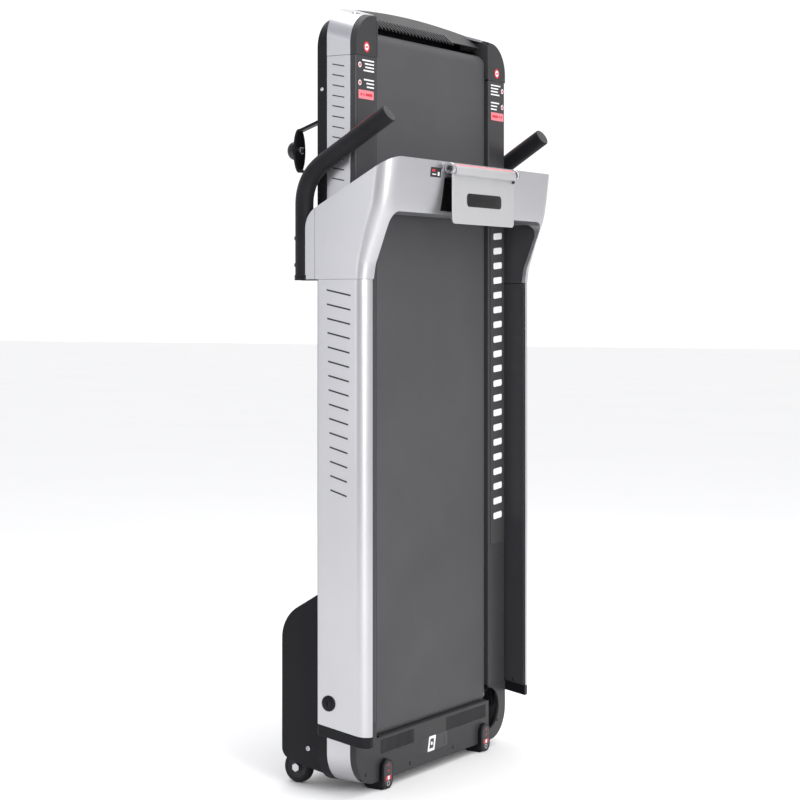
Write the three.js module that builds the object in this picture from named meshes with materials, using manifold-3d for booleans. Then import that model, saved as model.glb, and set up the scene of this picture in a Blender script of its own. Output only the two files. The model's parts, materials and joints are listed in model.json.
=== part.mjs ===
// A folding treadmill stored upright on its motor end: the deck stands vertical, and the console arch
// lies folded along it. Millimetres, +Z up. The deck is built with Y = 0 on its foot rails' face, +Y towards
// its underside and Z = 0 on the floor; the last group moves it so that the origin is below the middle.
import * as THREE from 'three';
import { mergeVertices } from 'three/addons/utils/BufferGeometryUtils.js';
import Module from 'manifold-3d';

const wasm = await Module();
wasm.setup();

// ---- driving dimensions ----
const GAP = 0.3; // clearance between touching pieces

const DECK_HALF = 328;
const DECK_BOTTOM = 20;
const DECK_TOP = 1658; // at the corners of the front face
const DECK_CROWN = 12; // how much higher the middle of the top edge is
const TOP_SLOPE = 0.284; // rise of the end cap's top per millimetre towards the back
const DECK_CORNER = 70;
const FRONT_LAYER = 15; // charcoal foot rails and covers
const BAND_BACK = 74; // back edge of the silver side bands
const DECK_THICK = 98;
const BAND_WALL = 6;
const CAP_SEAM = 1570; // where the rear end cap starts
const RAIL_WIDTH = 81;
const RAIL_BOTTOM = 148;

const BELT_HALF = 239;
const BELT_THICK = 2;
const ROLLER_RADIUS = 24.7;
const ROLLER_Y = 35; // the belt's face lies 8 mm below the foot rails
const FRONT_ROLLER_Z = 130;
const REAR_ROLLER_Z = 1602;
const BELT_WINDOW_BOTTOM = 113.5;

const FRAME_WALL = 3;
const FRAME_RAIL_INNER = 290;
const FRAME_RAIL_FRONT = 17;
const FRAME_RAIL_BOTTOM = 92;
const FRAME_RAIL_TOP = CAP_SEAM + 16;
const UNDERFRAME_WINDOW = 284;
const FRAME_WINDOWS = [[62, 430], [475, 855], [900, 1280], [1325, 1425], [1470, 1600]]; // heights
const SHAFT_RADIUS = 8;

const PIVOT_Y = 43;
const PIVOT_Z = 204;
const PIVOT_RADIUS = 7.5;

const MOTOR_Y = 145;
const MOTOR_Z = 262;
const MOTOR_RADIUS = 46;
const PULLEY_X = [-280, -264];
const ROLLER_PULLEY = 17.5;
const MOTOR_PULLEY = 12;
const DRIVE_BELT_THICK = 2.5;

const HOOD_HALF = 308;
const HOOD_WALL = 4;
const HOOD_BACK = 204;

const WHEEL_RADIUS = 34;
const WHEEL_Y = 191;
const WHEEL_X = 260;
const WHEEL_WIDTH = 22;

const FOOT_X = 216;
const STAND_X = 271;
const STAND_Z = 1377;
const STAND_Y = 186;

const UPRIGHT_INNER = 336;
const UPRIGHT_OUTER = 368;
const UPRIGHT_FRONT = -49;
const UPRIGHT_BACK = 73;
const UPRIGHT_ROUND = 26;
const UPRIGHT_TOP = 1095;
const UPRIGHT_WALL = 3;
const UPRIGHT_END = 115; // lower end of the black end cap, at the front
const END_CAP_HEIGHT = 23;
const END_SLOPE = 0.168; // rise of the end cap per millimetre towards the back

const CONSOLE_SLOPE = 28.5 * Math.PI / 180;
const CONSOLE_TOP_Y = -113;
const CONSOLE_TOP_Z = 1350;
const BEAM_BOTTOM = 1237;
const BEAM_BACK = -9;
const SHROUD_BACK = 102.5;

const BAR_RADIUS = 19.5;
const BAR_X = 352.5;
const BAR_Y = 115;
const BAR_KNEE_Z = 1313;
const BAR_BEND = 105;
const BAR_TIP = [343.5, -92, 1439.5];

const TABLET_Y = -124;
const TABLET_Z = 1336;
const TABLET_TUBE = 10;
const TABLET_HALF = 138.5;
const TABLET_DROP = 119;
const POCKET_HALF = 146;
const POCKET_Z = [1244, 1318];
const POCKET_BACK = -80;

const ORIGIN_Y = 44.75; // middle of the whole model's depth

// ---- materials ----
function material(color, roughness, metalness) {
  return new THREE.MeshStandardMaterial({ color, roughness, metalness });
}
const SILVER = () => material(0xc9c8cd, 0.35, 0.6);
const CHARCOAL = () => material(0x4b4b4d, 0.6, 0);
const BLACK = () => material(0x1b1b1f, 0.5, 0);
const RUBBER = () => material(0x222224, 0.9, 0);
const STEEL = () => material(0x9a9ba0, 0.3, 1);
const FRAME_PAINT = () => material(0x151517, 0.45, 0.2);
const BELT = () => material(0x2c2c2e, 0.85, 0);

// ---- geometry helpers ----
const BASIS = {
  X: [[0, 1, 0], [0, 0, 1], [1, 0, 0]], // an outline in (Y, Z), extruded along X
  Y: [[1, 0, 0], [0, 0, 1], [0, -1, 0]], // an outline in (X, Z), extruded along -Y
  Z: [[1, 0, 0], [0, 1, 0], [0, 0, 1]], // an outline in (X, Y), extruded along Z
};

function extrude(shape, axis, from, to, curveSegments = 8) {
  const geometry = new THREE.ExtrudeGeometry(shape, { depth: to - from, bevelEnabled: false, curveSegments });
  const [x, y, z] = BASIS[axis].map((v) => new THREE.Vector3(...v));
  geometry.applyMatrix4(new THREE.Matrix4().makeBasis(x, y, z));
  const start = { X: [from, 0, 0], Y: [0, to, 0], Z: [0, 0, from] }[axis];
  return geometry.translate(...start);
}

function block(x0, x1, y0, y1, z0, z1) {
  const geometry = new THREE.BoxGeometry(x1 - x0, y1 - y0, z1 - z0);
  return geometry.translate((x0 + x1) / 2, (y0 + y1) / 2, (z0 + z1) / 2);
}

function rod(radius, x0, x1, y, z, segments = 24) {
  const geometry = new THREE.CylinderGeometry(radius, radius, x1 - x0, segments);
  return geometry.rotateZ(Math.PI / 2).translate((x0 + x1) / 2, y, z);
}

// A turned piece whose axis lies along X; the profile lists [x, radius].
function turned(profile, y, z, segments = 28) {
  const points = profile.map(([x, r]) => new THREE.Vector2(r, x));
  return new THREE.LatheGeometry(points, segments).rotateZ(-Math.PI / 2).translate(0, y, z);
}

function polygon(points) {
  return new THREE.Shape(points.map(([a, b]) => new THREE.Vector2(a, b)));
}

// A polygon whose corners are rounded; each corner is [a, b, radius].
function rounded(corners) {
  const path = new THREE.Path();
  const count = corners.length;
  corners.forEach(([a, b, radius = 0], i) => {
    const corner = new THREE.Vector2(a, b);
    const before = new THREE.Vector2(...corners[(i + count - 1) % count].slice(0, 2));
    const after = new THREE.Vector2(...corners[(i + 1) % count].slice(0, 2));
    const toBefore = before.sub(corner).normalize();
    const toAfter = after.sub(corner).normalize();
    const half = Math.acos(THREE.MathUtils.clamp(toBefore.dot(toAfter), -1, 1)) / 2;
    const reach = radius / Math.tan(half);
    const enter = corner.clone().addScaledVector(toBefore, reach);
    const leave = corner.clone().addScaledVector(toAfter, reach);
    if (i === 0) path.moveTo(enter.x, enter.y);
    else path.lineTo(enter.x, enter.y);
    if (radius > 0) {
      const middle = toBefore.clone().add(toAfter).normalize();
      const centre = corner.clone().addScaledVector(middle, radius / Math.sin(half));
      const startAngle = Math.atan2(enter.y - centre.y, enter.x - centre.x);
      const endAngle = Math.atan2(leave.y - centre.y, leave.x - centre.x);
      const turnsLeft = toBefore.x * toAfter.y - toBefore.y * toAfter.x < 0;
      path.absarc(centre.x, centre.y, radius, startAngle, endAngle, !turnsLeft);
    }
  });
  const points = path.getPoints(9);
  return new THREE.Shape(points.filter((point, i) => i === 0 || point.distanceTo(points[i - 1]) > 0.01));
}

function solid(geometry) {
  const clean = geometry.clone();
  clean.deleteAttribute('normal');
  clean.deleteAttribute('uv');
  const merged = mergeVertices(clean, 1e-4);
  return new wasm.Manifold(new wasm.Mesh({
    numProp: 3,
    vertProperties: new Float32Array(merged.attributes.position.array),
    triVerts: new Uint32Array(merged.index.array),
  }));
}

function geometryOf(manifold) {
  const mesh = manifold.getMesh();
  const geometry = new THREE.BufferGeometry();
  geometry.setAttribute('position', new THREE.BufferAttribute(mesh.vertProperties, mesh.numProp));
  geometry.setIndex(new THREE.BufferAttribute(mesh.triVerts, 1));
  const flat = geometry.toNonIndexed();
  flat.computeVertexNormals();
  return flat;
}

function subtract(geometry, ...cutters) {
  return geometryOf(cutters.reduce((body, cutter) => body.subtract(solid(cutter)), solid(geometry)));
}

function unite(...geometries) {
  return geometryOf(geometries.map(solid).reduce((body, other) => body.add(other)));
}

function keep(geometry, region) {
  return geometryOf(solid(geometry).intersect(solid(region)));
}

// The same piece on the other side of the deck: positions mirrored in X, triangles turned over.
function mirrored(geometry) {
  const flat = geometry.index ? geometry.toNonIndexed() : geometry.clone();
  const p = flat.attributes.position;
  for (let i = 0; i < p.count; i += 3) {
    const corners = [0, 2, 1].map((k) => [-p.getX(i + k), p.getY(i + k), p.getZ(i + k)]);
    corners.forEach(([x, y, z], k) => p.setXYZ(i + k, x, y, z));
  }
  flat.computeVertexNormals();
  return flat;
}

const deck = new THREE.Group();
const arch = new THREE.Group();

function add(group, name, geometry, finish) {
  const mesh = new THREE.Mesh(geometry, finish());
  mesh.name = name;
  group.add(mesh);
  return mesh;
}

// Adds a left piece and its mirror image.
function addPair(group, name, geometry, finish) {
  add(group, `left_${name}`, geometry, finish);
  add(group, `right_${name}`, mirrored(geometry), finish);
}

// ---- the deck's outline, seen from the front ----
function deckOutline(inset) {
  const half = DECK_HALF - inset;
  const bottom = DECK_BOTTOM + inset;
  const top = DECK_TOP - inset;
  const r = DECK_CORNER - inset;
  const shape = new THREE.Shape();
  shape.moveTo(-half + r, bottom);
  shape.lineTo(half - r, bottom);
  shape.absarc(half - r, bottom + r, r, -Math.PI / 2, 0, false);
  shape.lineTo(half, top - r);
  shape.absarc(half - r, top - r, r, 0, Math.PI / 2, false);
  shape.quadraticCurveTo(0, top + 2 * DECK_CROWN, -half + r, top);
  shape.absarc(-half + r, top - r, r, Math.PI / 2, Math.PI, false);
  shape.lineTo(-half, bottom + r);
  shape.absarc(-half + r, bottom + r, r, Math.PI, 1.5 * Math.PI, false);
  return shape;
}

function deckSlab(inset, y0, y1) {
  return extrude(deckOutline(inset), 'Y', y0, y1, 12);
}

// A slab whose top end rises towards the back.
function risenSlab(inset, y0, y1) {
  const geometry = deckSlab(inset, y0, y1);
  const p = geometry.attributes.position;
  for (let i = 0; i < p.count; i += 1) {
    if (p.getZ(i) > CAP_SEAM) p.setZ(i, p.getZ(i) + TOP_SLOPE * p.getY(i));
  }
  return geometry;
}

// ---- steel frame under the deck ----
function underframe() {
  const slab = subtract(
    deckSlab(0, BAND_BACK + GAP, DECK_THICK),
    deckSlab(FRAME_WALL, BAND_BACK - 10, DECK_THICK - FRAME_WALL),
  );
  const cuts = FRAME_WINDOWS.map(([low, high]) => (
    block(-UNDERFRAME_WINDOW, UNDERFRAME_WINDOW, 60, 110, low, high)
  ));
  return subtract(slab, ...cuts);
}
add(deck, 'underframe', underframe(), FRAME_PAINT);

function frameRail() {
  const outer = -DECK_HALF + BAND_WALL + GAP;
  const [front, wall] = [FRAME_RAIL_FRONT, FRAME_WALL];
  const tube = subtract(
    block(outer, -FRAME_RAIL_INNER, front, BAND_BACK, FRAME_RAIL_BOTTOM, FRAME_RAIL_TOP),
    block(outer + wall, -FRAME_RAIL_INNER - wall, front + wall, BAND_BACK - wall, 0, 2000),
  );
  return subtract(tube, rod(PIVOT_RADIUS + GAP, -340, -280, PIVOT_Y, PIVOT_Z));
}
addPair(deck, 'frame_rail', frameRail(), FRAME_PAINT);

const CROSSBAR_Y = 32;
const CROSSBAR_THICK = 24;
const CROSSBAR_HALF_HEIGHT = 25;
const CROSSBARS = { front_crossbar: 330, rear_crossbar: 1380 };
const CROSSBAR_HALF = FRAME_RAIL_INNER - GAP;
// A rectangular bar across the deck, centred at height z and shrunk by an inset.
function crossbar(z, inset, half) {
  const height = CROSSBAR_HALF_HEIGHT - inset;
  return block(-half, half, CROSSBAR_Y + inset, CROSSBAR_Y + CROSSBAR_THICK - inset, z - height, z + height);
}
for (const [name, z] of Object.entries(CROSSBARS)) {
  const bar = subtract(crossbar(z, 0, CROSSBAR_HALF), crossbar(z, FRAME_WALL, CROSSBAR_HALF + 1));
  add(deck, name, bar, FRAME_PAINT);
}

const BOARD_HALF = 244;
const BOARD_FRONT = ROLLER_Y - ROLLER_RADIUS;
const BOARD_ENDS = [162, 1570]; // clear of both rollers
add(deck, 'running_board',
  block(-BOARD_HALF, BOARD_HALF, BOARD_FRONT, CROSSBAR_Y - GAP, ...BOARD_ENDS), BLACK);

// ---- belt, rollers and drive ----
// The outline of a belt of one thickness around two circles, as an outer shape with a hole.
function loopPoints(a, ra, b, rb, steps = 14) {
  const along = new THREE.Vector2(b[0] - a[0], b[1] - a[1]);
  const direction = Math.atan2(along.y, along.x);
  const lean = Math.acos((ra - rb) / along.length());
  const points = [];
  for (let i = 0; i <= steps; i += 1) {
    const t = direction + lean + (2 * Math.PI - 2 * lean) * (i / steps);
    points.push(new THREE.Vector2(a[0] + ra * Math.cos(t), a[1] + ra * Math.sin(t)));
  }
  for (let i = 0; i <= steps; i += 1) {
    const t = direction - lean + 2 * lean * (i / steps);
    points.push(new THREE.Vector2(b[0] + rb * Math.cos(t), b[1] + rb * Math.sin(t)));
  }
  return points;
}

function loop(a, ra, b, rb, thickness, x0, x1) {
  const shape = new THREE.Shape(loopPoints(a, ra + thickness, b, rb + thickness));
  shape.holes.push(new THREE.Path(loopPoints(a, ra, b, rb)));
  return extrude(shape, 'X', x0, x1);
}

const FRONT_ROLLER = [ROLLER_Y, FRONT_ROLLER_Z];
const REAR_ROLLER = [ROLLER_Y, REAR_ROLLER_Z];
const INSIDE_BELT = ROLLER_RADIUS + GAP;
add(deck, 'running_belt',
  loop(FRONT_ROLLER, INSIDE_BELT, REAR_ROLLER, INSIDE_BELT, BELT_THICK, -BELT_HALF, BELT_HALF), BELT);

const ROLLER_HALF = 244;
const ROLLER_END = 14;
const ROLLER_WALL = 3.2;
const BORE = SHAFT_RADIUS + GAP;
const FLANGE = 2; // width of the pulley's flanges
const FLANGE_RADIUS = ROLLER_PULLEY + 1.5;
const PULLEY_NECK = 16;
const rollerCavity = [
  [ROLLER_HALF, BORE], [ROLLER_HALF - ROLLER_END, BORE],
  [ROLLER_HALF - ROLLER_END, ROLLER_RADIUS - ROLLER_WALL],
  [-ROLLER_HALF + ROLLER_END, ROLLER_RADIUS - ROLLER_WALL],
  [-ROLLER_HALF + ROLLER_END, BORE],
];
const pulleyProfile = [
  [PULLEY_X[0], BORE], [PULLEY_X[0], FLANGE_RADIUS], [PULLEY_X[0] + FLANGE, FLANGE_RADIUS],
  [PULLEY_X[0] + FLANGE, ROLLER_PULLEY], [PULLEY_X[1] - FLANGE, ROLLER_PULLEY],
  [PULLEY_X[1] - FLANGE, FLANGE_RADIUS], [PULLEY_X[1], FLANGE_RADIUS], [PULLEY_X[1], PULLEY_NECK],
  [-ROLLER_HALF, PULLEY_NECK],
];
add(deck, 'drive_roller', turned([
  ...pulleyProfile, [-ROLLER_HALF, ROLLER_RADIUS], [ROLLER_HALF, ROLLER_RADIUS],
  ...rollerCavity, [PULLEY_X[0], BORE],
], ...FRONT_ROLLER), STEEL);
add(deck, 'drive_roller_shaft', rod(SHAFT_RADIUS, -CROSSBAR_HALF, CROSSBAR_HALF, ...FRONT_ROLLER), STEEL);
add(deck, 'rear_roller', turned([
  [-ROLLER_HALF, BORE], [-ROLLER_HALF, ROLLER_RADIUS], [ROLLER_HALF, ROLLER_RADIUS],
  ...rollerCavity, [-ROLLER_HALF, BORE],
], ...REAR_ROLLER), STEEL);

// The belt's tensioners: a block on each end of the rear shaft, with a screw that points up.
const TENSION_X = -276;
const TENSION_Y = 34;
const TENSION_TOP = 1650;
add(deck, 'rear_roller_shaft', rod(SHAFT_RADIUS, TENSION_X, -TENSION_X, ...REAR_ROLLER), STEEL);

function rollerBracket() {
  const [front, back, low, high] = [22, 50, 1515, 1624];
  const outline = rounded([[front, low, 3], [back, low, 4], [back, high, 9], [front, high, 9]]);
  const plate = extrude(outline, 'X', TENSION_X - 8, TENSION_X + 8);
  const tensioner = rod(4, high - 6, TENSION_TOP, 0, 0, 12).rotateY(-Math.PI / 2)
    .translate(TENSION_X, TENSION_Y, 0);
  return subtract(unite(plate, tensioner), rod(BORE, -290, -260, ...REAR_ROLLER));
}
addPair(deck, 'roller_bracket', rollerBracket(), STEEL);

const MOTOR_AXIS = [MOTOR_Y, MOTOR_Z];
const CAN_X = [-244, -54];
const CAN_WALL = 12;
const CAN_END_RADIUS = 30; // the end caps curve in to this
const FAN_X = [-46, -30];
const FAN_RADIUS = 42;
add(deck, 'motor_can', turned([
  [CAN_X[0], BORE], [CAN_X[0], CAN_END_RADIUS], [CAN_X[0] + 4, MOTOR_RADIUS - 2],
  [CAN_X[0] + 8, MOTOR_RADIUS], [CAN_X[1] - 6, MOTOR_RADIUS], [CAN_X[1] - 2, MOTOR_RADIUS - 2],
  [CAN_X[1], CAN_END_RADIUS], [CAN_X[1], BORE], [CAN_X[1] - CAN_WALL, BORE],
  [CAN_X[1] - CAN_WALL, MOTOR_RADIUS - CAN_WALL], [CAN_X[0] + CAN_WALL, MOTOR_RADIUS - CAN_WALL],
  [CAN_X[0] + CAN_WALL, BORE], [CAN_X[0], BORE],
], ...MOTOR_AXIS), BLACK);
add(deck, 'motor_rotor', turned([
  [PULLEY_X[0] - 3, 0], [PULLEY_X[0] - 3, MOTOR_PULLEY], [PULLEY_X[1] + 1, MOTOR_PULLEY],
  [PULLEY_X[1] + 1, SHAFT_RADIUS], [FAN_X[0], SHAFT_RADIUS], [FAN_X[0], FAN_RADIUS],
  [FAN_X[1], FAN_RADIUS], [FAN_X[1], 0],
], ...MOTOR_AXIS), STEEL);
const MOUNT_PLATE = 5;
const MOUNT_FRONT = BAND_BACK + 4;
const MOUNT_BACK = MOTOR_Y - MOTOR_RADIUS - GAP;
const MOUNT_LOW = 225;
const MOUNT_HIGH = 300;
const mountProfile = polygon([
  [MOUNT_FRONT, MOUNT_LOW], [MOUNT_BACK, MOUNT_LOW], [MOUNT_BACK, MOUNT_HIGH], [MOUNT_FRONT, MOUNT_HIGH],
  [MOUNT_FRONT, MOUNT_HIGH - MOUNT_PLATE], [MOUNT_BACK - MOUNT_PLATE, MOUNT_HIGH - MOUNT_PLATE],
  [MOUNT_BACK - MOUNT_PLATE, MOUNT_LOW + MOUNT_PLATE], [MOUNT_FRONT, MOUNT_LOW + MOUNT_PLATE],
]);
add(deck, 'motor_mount', extrude(mountProfile, 'X', CAN_X[0] - 6, CROSSBAR_HALF - 6), FRAME_PAINT);
add(deck, 'drive_belt', loop(
  FRONT_ROLLER, ROLLER_PULLEY + GAP, MOTOR_AXIS, MOTOR_PULLEY + GAP, DRIVE_BELT_THICK,
  PULLEY_X[0] + FLANGE + GAP, PULLEY_X[1] - FLANGE - GAP,
), RUBBER);

// A circuit board with a finned heat sink on it.
const CONTROLLER_X = [50, 230];
const CONTROLLER_Y = 136;
const CONTROLLER_Z = [120, 345];
function controllerBoard() {
  const [left, right] = CONTROLLER_X;
  const [low, high] = CONTROLLER_Z;
  const sinkLow = high - 80;
  const fins = [];
  for (let x = left + 20; x < right - 40; x += 20) {
    fins.push(block(x, x + 4, CONTROLLER_Y + 4, CONTROLLER_Y + 29, sinkLow + 5, high - 5));
  }
  return unite(
    block(left, right, CONTROLLER_Y, CONTROLLER_Y + 4.5, low, high),
    block(left + 10, right - 10, CONTROLLER_Y + 4, CONTROLLER_Y + 10, sinkLow, high - 5),
    ...fins,
  );
}
add(deck, 'controller_board', controllerBoard(), STEEL);

// ---- deck side bands, foot rails, end cap and front cover ----
const bandRing = subtract(
  risenSlab(0, FRONT_LAYER + GAP, BAND_BACK),
  risenSlab(BAND_WALL, 0, DECK_THICK),
);
const pivotHole = rod(PIVOT_RADIUS + GAP, -400, -300, PIVOT_Y, PIVOT_Z);
const tensionHole = new THREE.CylinderGeometry(9, 9, 100, 20).rotateX(Math.PI / 2)
  .translate(TENSION_X, TENSION_Y, DECK_TOP - 10);
addPair(deck, 'side_band', subtract(
  keep(bandRing, block(-400, -222, 0, 100, 0, CAP_SEAM - GAP)),
  pivotHole,
), SILVER);
// The corner trims' inner ends are cut a little askew; the cap fills the space between them.
const TRIM_FRONT_X = 238;
const TRIM_BACK_X = 216;
const trimRegion = extrude(
  polygon([[-400, 0], [-TRIM_FRONT_X, 0], [-TRIM_BACK_X, 100], [-400, 100]]),
  'Z', CAP_SEAM + GAP, 1800,
);
const [gapFront, gapBack] = [TRIM_FRONT_X - GAP, TRIM_BACK_X - GAP];
const trimGap = extrude(
  polygon([[-gapFront, 0], [-gapBack, 100], [gapBack, 100], [gapFront, 0]]),
  'Z', 1620, 1800,
);
addPair(deck, 'corner_trim', subtract(keep(bandRing, trimRegion), tensionHole), SILVER);

const RAIL_INNER = DECK_HALF - RAIL_WIDTH;
function footRail() {
  const profile = rounded([
    [-DECK_HALF, FRONT_LAYER], [-RAIL_INNER, FRONT_LAYER], [-RAIL_INNER, 0, 3], [-DECK_HALF, 0, 7],
  ]);
  return extrude(profile, 'Z', RAIL_BOTTOM, CAP_SEAM - GAP);
}
addPair(deck, 'foot_rail', footRail(), CHARCOAL);

const capLayers = unite(
  risenSlab(0, 0, FRONT_LAYER),
  risenSlab(BAND_WALL + GAP, FRONT_LAYER - 1, BAND_BACK),
  keep(risenSlab(0, FRONT_LAYER - 1, BAND_BACK), trimGap),
);
// Above the belt the cap's face leans back, from a lip at the belt to the cap's back edge.
const CAP_LIP = [8, 1634];
const CAP_CREST = [71, 1690];
const CAP_WALL = 5;
const CAP_INNER = RAIL_INNER - 6;
const capLean = (CAP_CREST[1] - CAP_LIP[1]) / (CAP_CREST[0] - CAP_LIP[0]);
const leanZ = (y) => CAP_LIP[1] + (y - CAP_LIP[0]) * capLean;
const beforeFace = polygon([
  [-20, 1500], [CAP_LIP[0], 1500], CAP_LIP, [90, leanZ(90)], [90, 1800], [-20, 1800],
]);
const behindFace = polygon([
  [CAP_LIP[0] - 1, 1500], [CAP_LIP[0] - 1, leanZ(CAP_LIP[0] - 1) - CAP_WALL],
  [BAND_BACK - CAP_WALL, leanZ(BAND_BACK - CAP_WALL) - CAP_WALL - 4], [110, leanZ(60)], [110, 1500],
]);
add(deck, 'rear_end_cap', subtract(
  keep(capLayers, block(-400, 400, -10, 100, CAP_SEAM + GAP, 1800)),
  block(-296, 296, 5, 110, 1500, 1645),
  extrude(beforeFace, 'X', -RAIL_INNER, RAIL_INNER),
  extrude(behindFace, 'X', -CAP_INNER, CAP_INNER),
  block(-330, -285, FRONT_LAYER, 110, 1500, FRAME_RAIL_TOP + 1),
  block(285, 330, FRONT_LAYER, 110, 1500, FRAME_RAIL_TOP + 1),
  tensionHole,
  mirrored(tensionHole),
), CHARCOAL);

// Right-hand lower corner: a round scoop beside the cover.
const SCOOP_RADIUS = 49;
const scoop = new THREE.CylinderGeometry(SCOOP_RADIUS, SCOOP_RADIUS, 30, 40).translate(RAIL_INNER, -3, 94);
const scoopSide = keep(scoop, block(RAIL_INNER, 400, -30, 12, 0, 200));
add(deck, 'front_cover', subtract(
  keep(capLayers, block(-400, 400, -10, 100, 0, RAIL_BOTTOM - GAP)),
  block(-300, 300, 5, 110, 30, 200),
  block(-RAIL_INNER + GAP, RAIL_INNER - GAP, 2.5, 6, 30, 200),
  block(-RAIL_INNER, RAIL_INNER, -10, 100, BELT_WINDOW_BOTTOM, 200),
  block(-330, -285, FRONT_LAYER, 110, 91, 200),
  block(285, 330, FRONT_LAYER, 110, 91, 200),
  scoopSide,
), CHARCOAL);

// ---- motor hood on the underside ----
const HOOD_LOW = 40;
const HOOD_HIGH = 428;
const HOOD_SHOULDER = 366; // where the back face turns towards the top
const SHOULDER_RADIUS = 80;
function hoodOutline(inset, open) {
  const face = open ? 0 : DECK_THICK + GAP;
  return rounded([
    [face, HOOD_LOW + inset], [150, HOOD_LOW + 10 + inset, 60],
    [HOOD_BACK - inset, HOOD_LOW + 26 + inset, 24 - inset],
    [HOOD_BACK - inset, HOOD_SHOULDER - inset, SHOULDER_RADIUS - inset], [face, HOOD_HIGH - inset],
  ]);
}
const WHEEL_WELL = [WHEEL_X - 17, WHEEL_X + 17];
const SWITCH_Y = 137.5;
const SWITCH_Z = 222.5;
add(deck, 'motor_hood', subtract(
  extrude(hoodOutline(0, false), 'X', -HOOD_HALF, HOOD_HALF),
  extrude(hoodOutline(HOOD_WALL, true), 'X', -HOOD_HALF + HOOD_WALL, HOOD_HALF - HOOD_WALL),
  block(-WHEEL_WELL[1], -WHEEL_WELL[0], 95, 215, 0, 75),
  block(...WHEEL_WELL, 95, 215, 0, 75),
  block(HOOD_HALF - 10, HOOD_HALF + 5, SWITCH_Y - 12.5, SWITCH_Y + 12.5, SWITCH_Z - 17.5, SWITCH_Z + 17.5),
), BLACK);

// Rocker switch in the hood's right wall.
const rockerProfile = rounded([
  [SWITCH_Y - 9.5, SWITCH_Z - 14.5, 2], [SWITCH_Y + 9.5, SWITCH_Z - 14.5, 2],
  [SWITCH_Y + 9.5, SWITCH_Z + 14.5, 2], [SWITCH_Y - 9.5, SWITCH_Z + 14.5, 2],
]);
add(deck, 'power_rocker', extrude(rockerProfile, 'X', HOOD_HALF - 7, HOOD_HALF + 2), BLACK);

// ---- transport wheels ----
const AXLE_RADIUS = 6;
const WHEEL_OUTSIDE = -WHEEL_X - WHEEL_WIDTH / 2;
const WHEEL_INSIDE = -WHEEL_X + WHEEL_WIDTH / 2;
const WHEEL_DISH = WHEEL_OUTSIDE + 2;
add(deck, 'left_wheel', turned([
  [WHEEL_DISH, AXLE_RADIUS + GAP], [WHEEL_DISH, 20], [WHEEL_OUTSIDE, 24],
  [WHEEL_OUTSIDE, WHEEL_RADIUS - 3], [WHEEL_OUTSIDE + 3, WHEEL_RADIUS],
  [WHEEL_INSIDE - 3, WHEEL_RADIUS], [WHEEL_INSIDE, WHEEL_RADIUS - 3],
  [WHEEL_INSIDE, AXLE_RADIUS + GAP], [WHEEL_DISH, AXLE_RADIUS + GAP],
], WHEEL_Y, WHEEL_RADIUS, 36), RUBBER);
add(deck, 'right_wheel', mirrored(deck.children.at(-1).geometry), RUBBER);

function wheelBracket() {
  const outline = rounded([
    [DECK_THICK + GAP, 130, 5], [DECK_THICK + GAP, 45, 5], [WHEEL_Y - 10, 24, 14],
    [WHEEL_Y + 12, 22, 12], [WHEEL_Y + 10, 58, 12],
  ]);
  return unite(
    extrude(outline, 'X', -WHEEL_X + 12.5, -WHEEL_X + 16.5),
    rod(AXLE_RADIUS, -WHEEL_X - 14, -WHEEL_X + 14, WHEEL_Y, WHEEL_RADIUS, 20),
    rod(9.5, -WHEEL_X - 16, -WHEEL_X - 11.5, WHEEL_Y, WHEEL_RADIUS, 6),
  );
}
addPair(deck, 'wheel_bracket', wheelBracket(), STEEL);

// ---- front feet: an upright fairing on the cover, with a rounded sole behind it ----
const FOOT_HALF = 21;
const FOOT_HEIGHT = 65;
function frontFoot() {
  const [left, right] = [-FOOT_X - FOOT_HALF, -FOOT_X + FOOT_HALF];
  const face = rounded([
    [left, 1.5, 17], [right, 1.5, 17], [right, FOOT_HEIGHT, 20], [left, FOOT_HEIGHT, 20],
  ]);
  const sole = rounded([[-6, 0, 4], [44, 0, 17], [44, 19.4], [-6, 19.4]]);
  return unite(extrude(face, 'Y', -9, -GAP), extrude(sole, 'X', -FOOT_X - 16, -FOOT_X + 16));
}
addPair(deck, 'front_foot', frontFoot(), RUBBER);

// ---- rear stand: a bent strap with an oval plate, and a domed screw foot ----
const STRAP_THICK = 5;
const STRAP_HALF = 8;
const STRAP_FLAT = 44; // half the height of its part along the plate
const STRAP_REACH = 75; // half the height where it meets the frame
function rearStand() {
  const foot = DECK_THICK + GAP;
  const outer = [
    [foot, STAND_Z + STRAP_REACH], [STAND_Y, STAND_Z + STRAP_FLAT],
    [STAND_Y, STAND_Z - STRAP_FLAT], [foot, STAND_Z - STRAP_REACH],
  ];
  const inner = [
    [foot, STAND_Z - STRAP_REACH + 7], [STAND_Y - STRAP_THICK, STAND_Z - STRAP_FLAT + 4],
    [STAND_Y - STRAP_THICK, STAND_Z + STRAP_FLAT - 4], [foot, STAND_Z + STRAP_REACH - 7],
  ];
  const strap = extrude(polygon([...outer, ...inner]), 'X', -STAND_X - STRAP_HALF, -STAND_X + STRAP_HALF);
  const oval = new THREE.Shape();
  oval.absellipse(-STAND_X, STAND_Z, 20, 48, 0, 2 * Math.PI, false);
  const plate = extrude(oval, 'Y', STAND_Y - STRAP_THICK, STAND_Y, 20);
  const hole = new THREE.CylinderGeometry(5.3, 5.3, 30, 16).translate(-STAND_X, STAND_Y, STAND_Z);
  return subtract(unite(strap, plate), hole);
}
addPair(deck, 'rear_stand', rearStand(), FRAME_PAINT);

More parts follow.
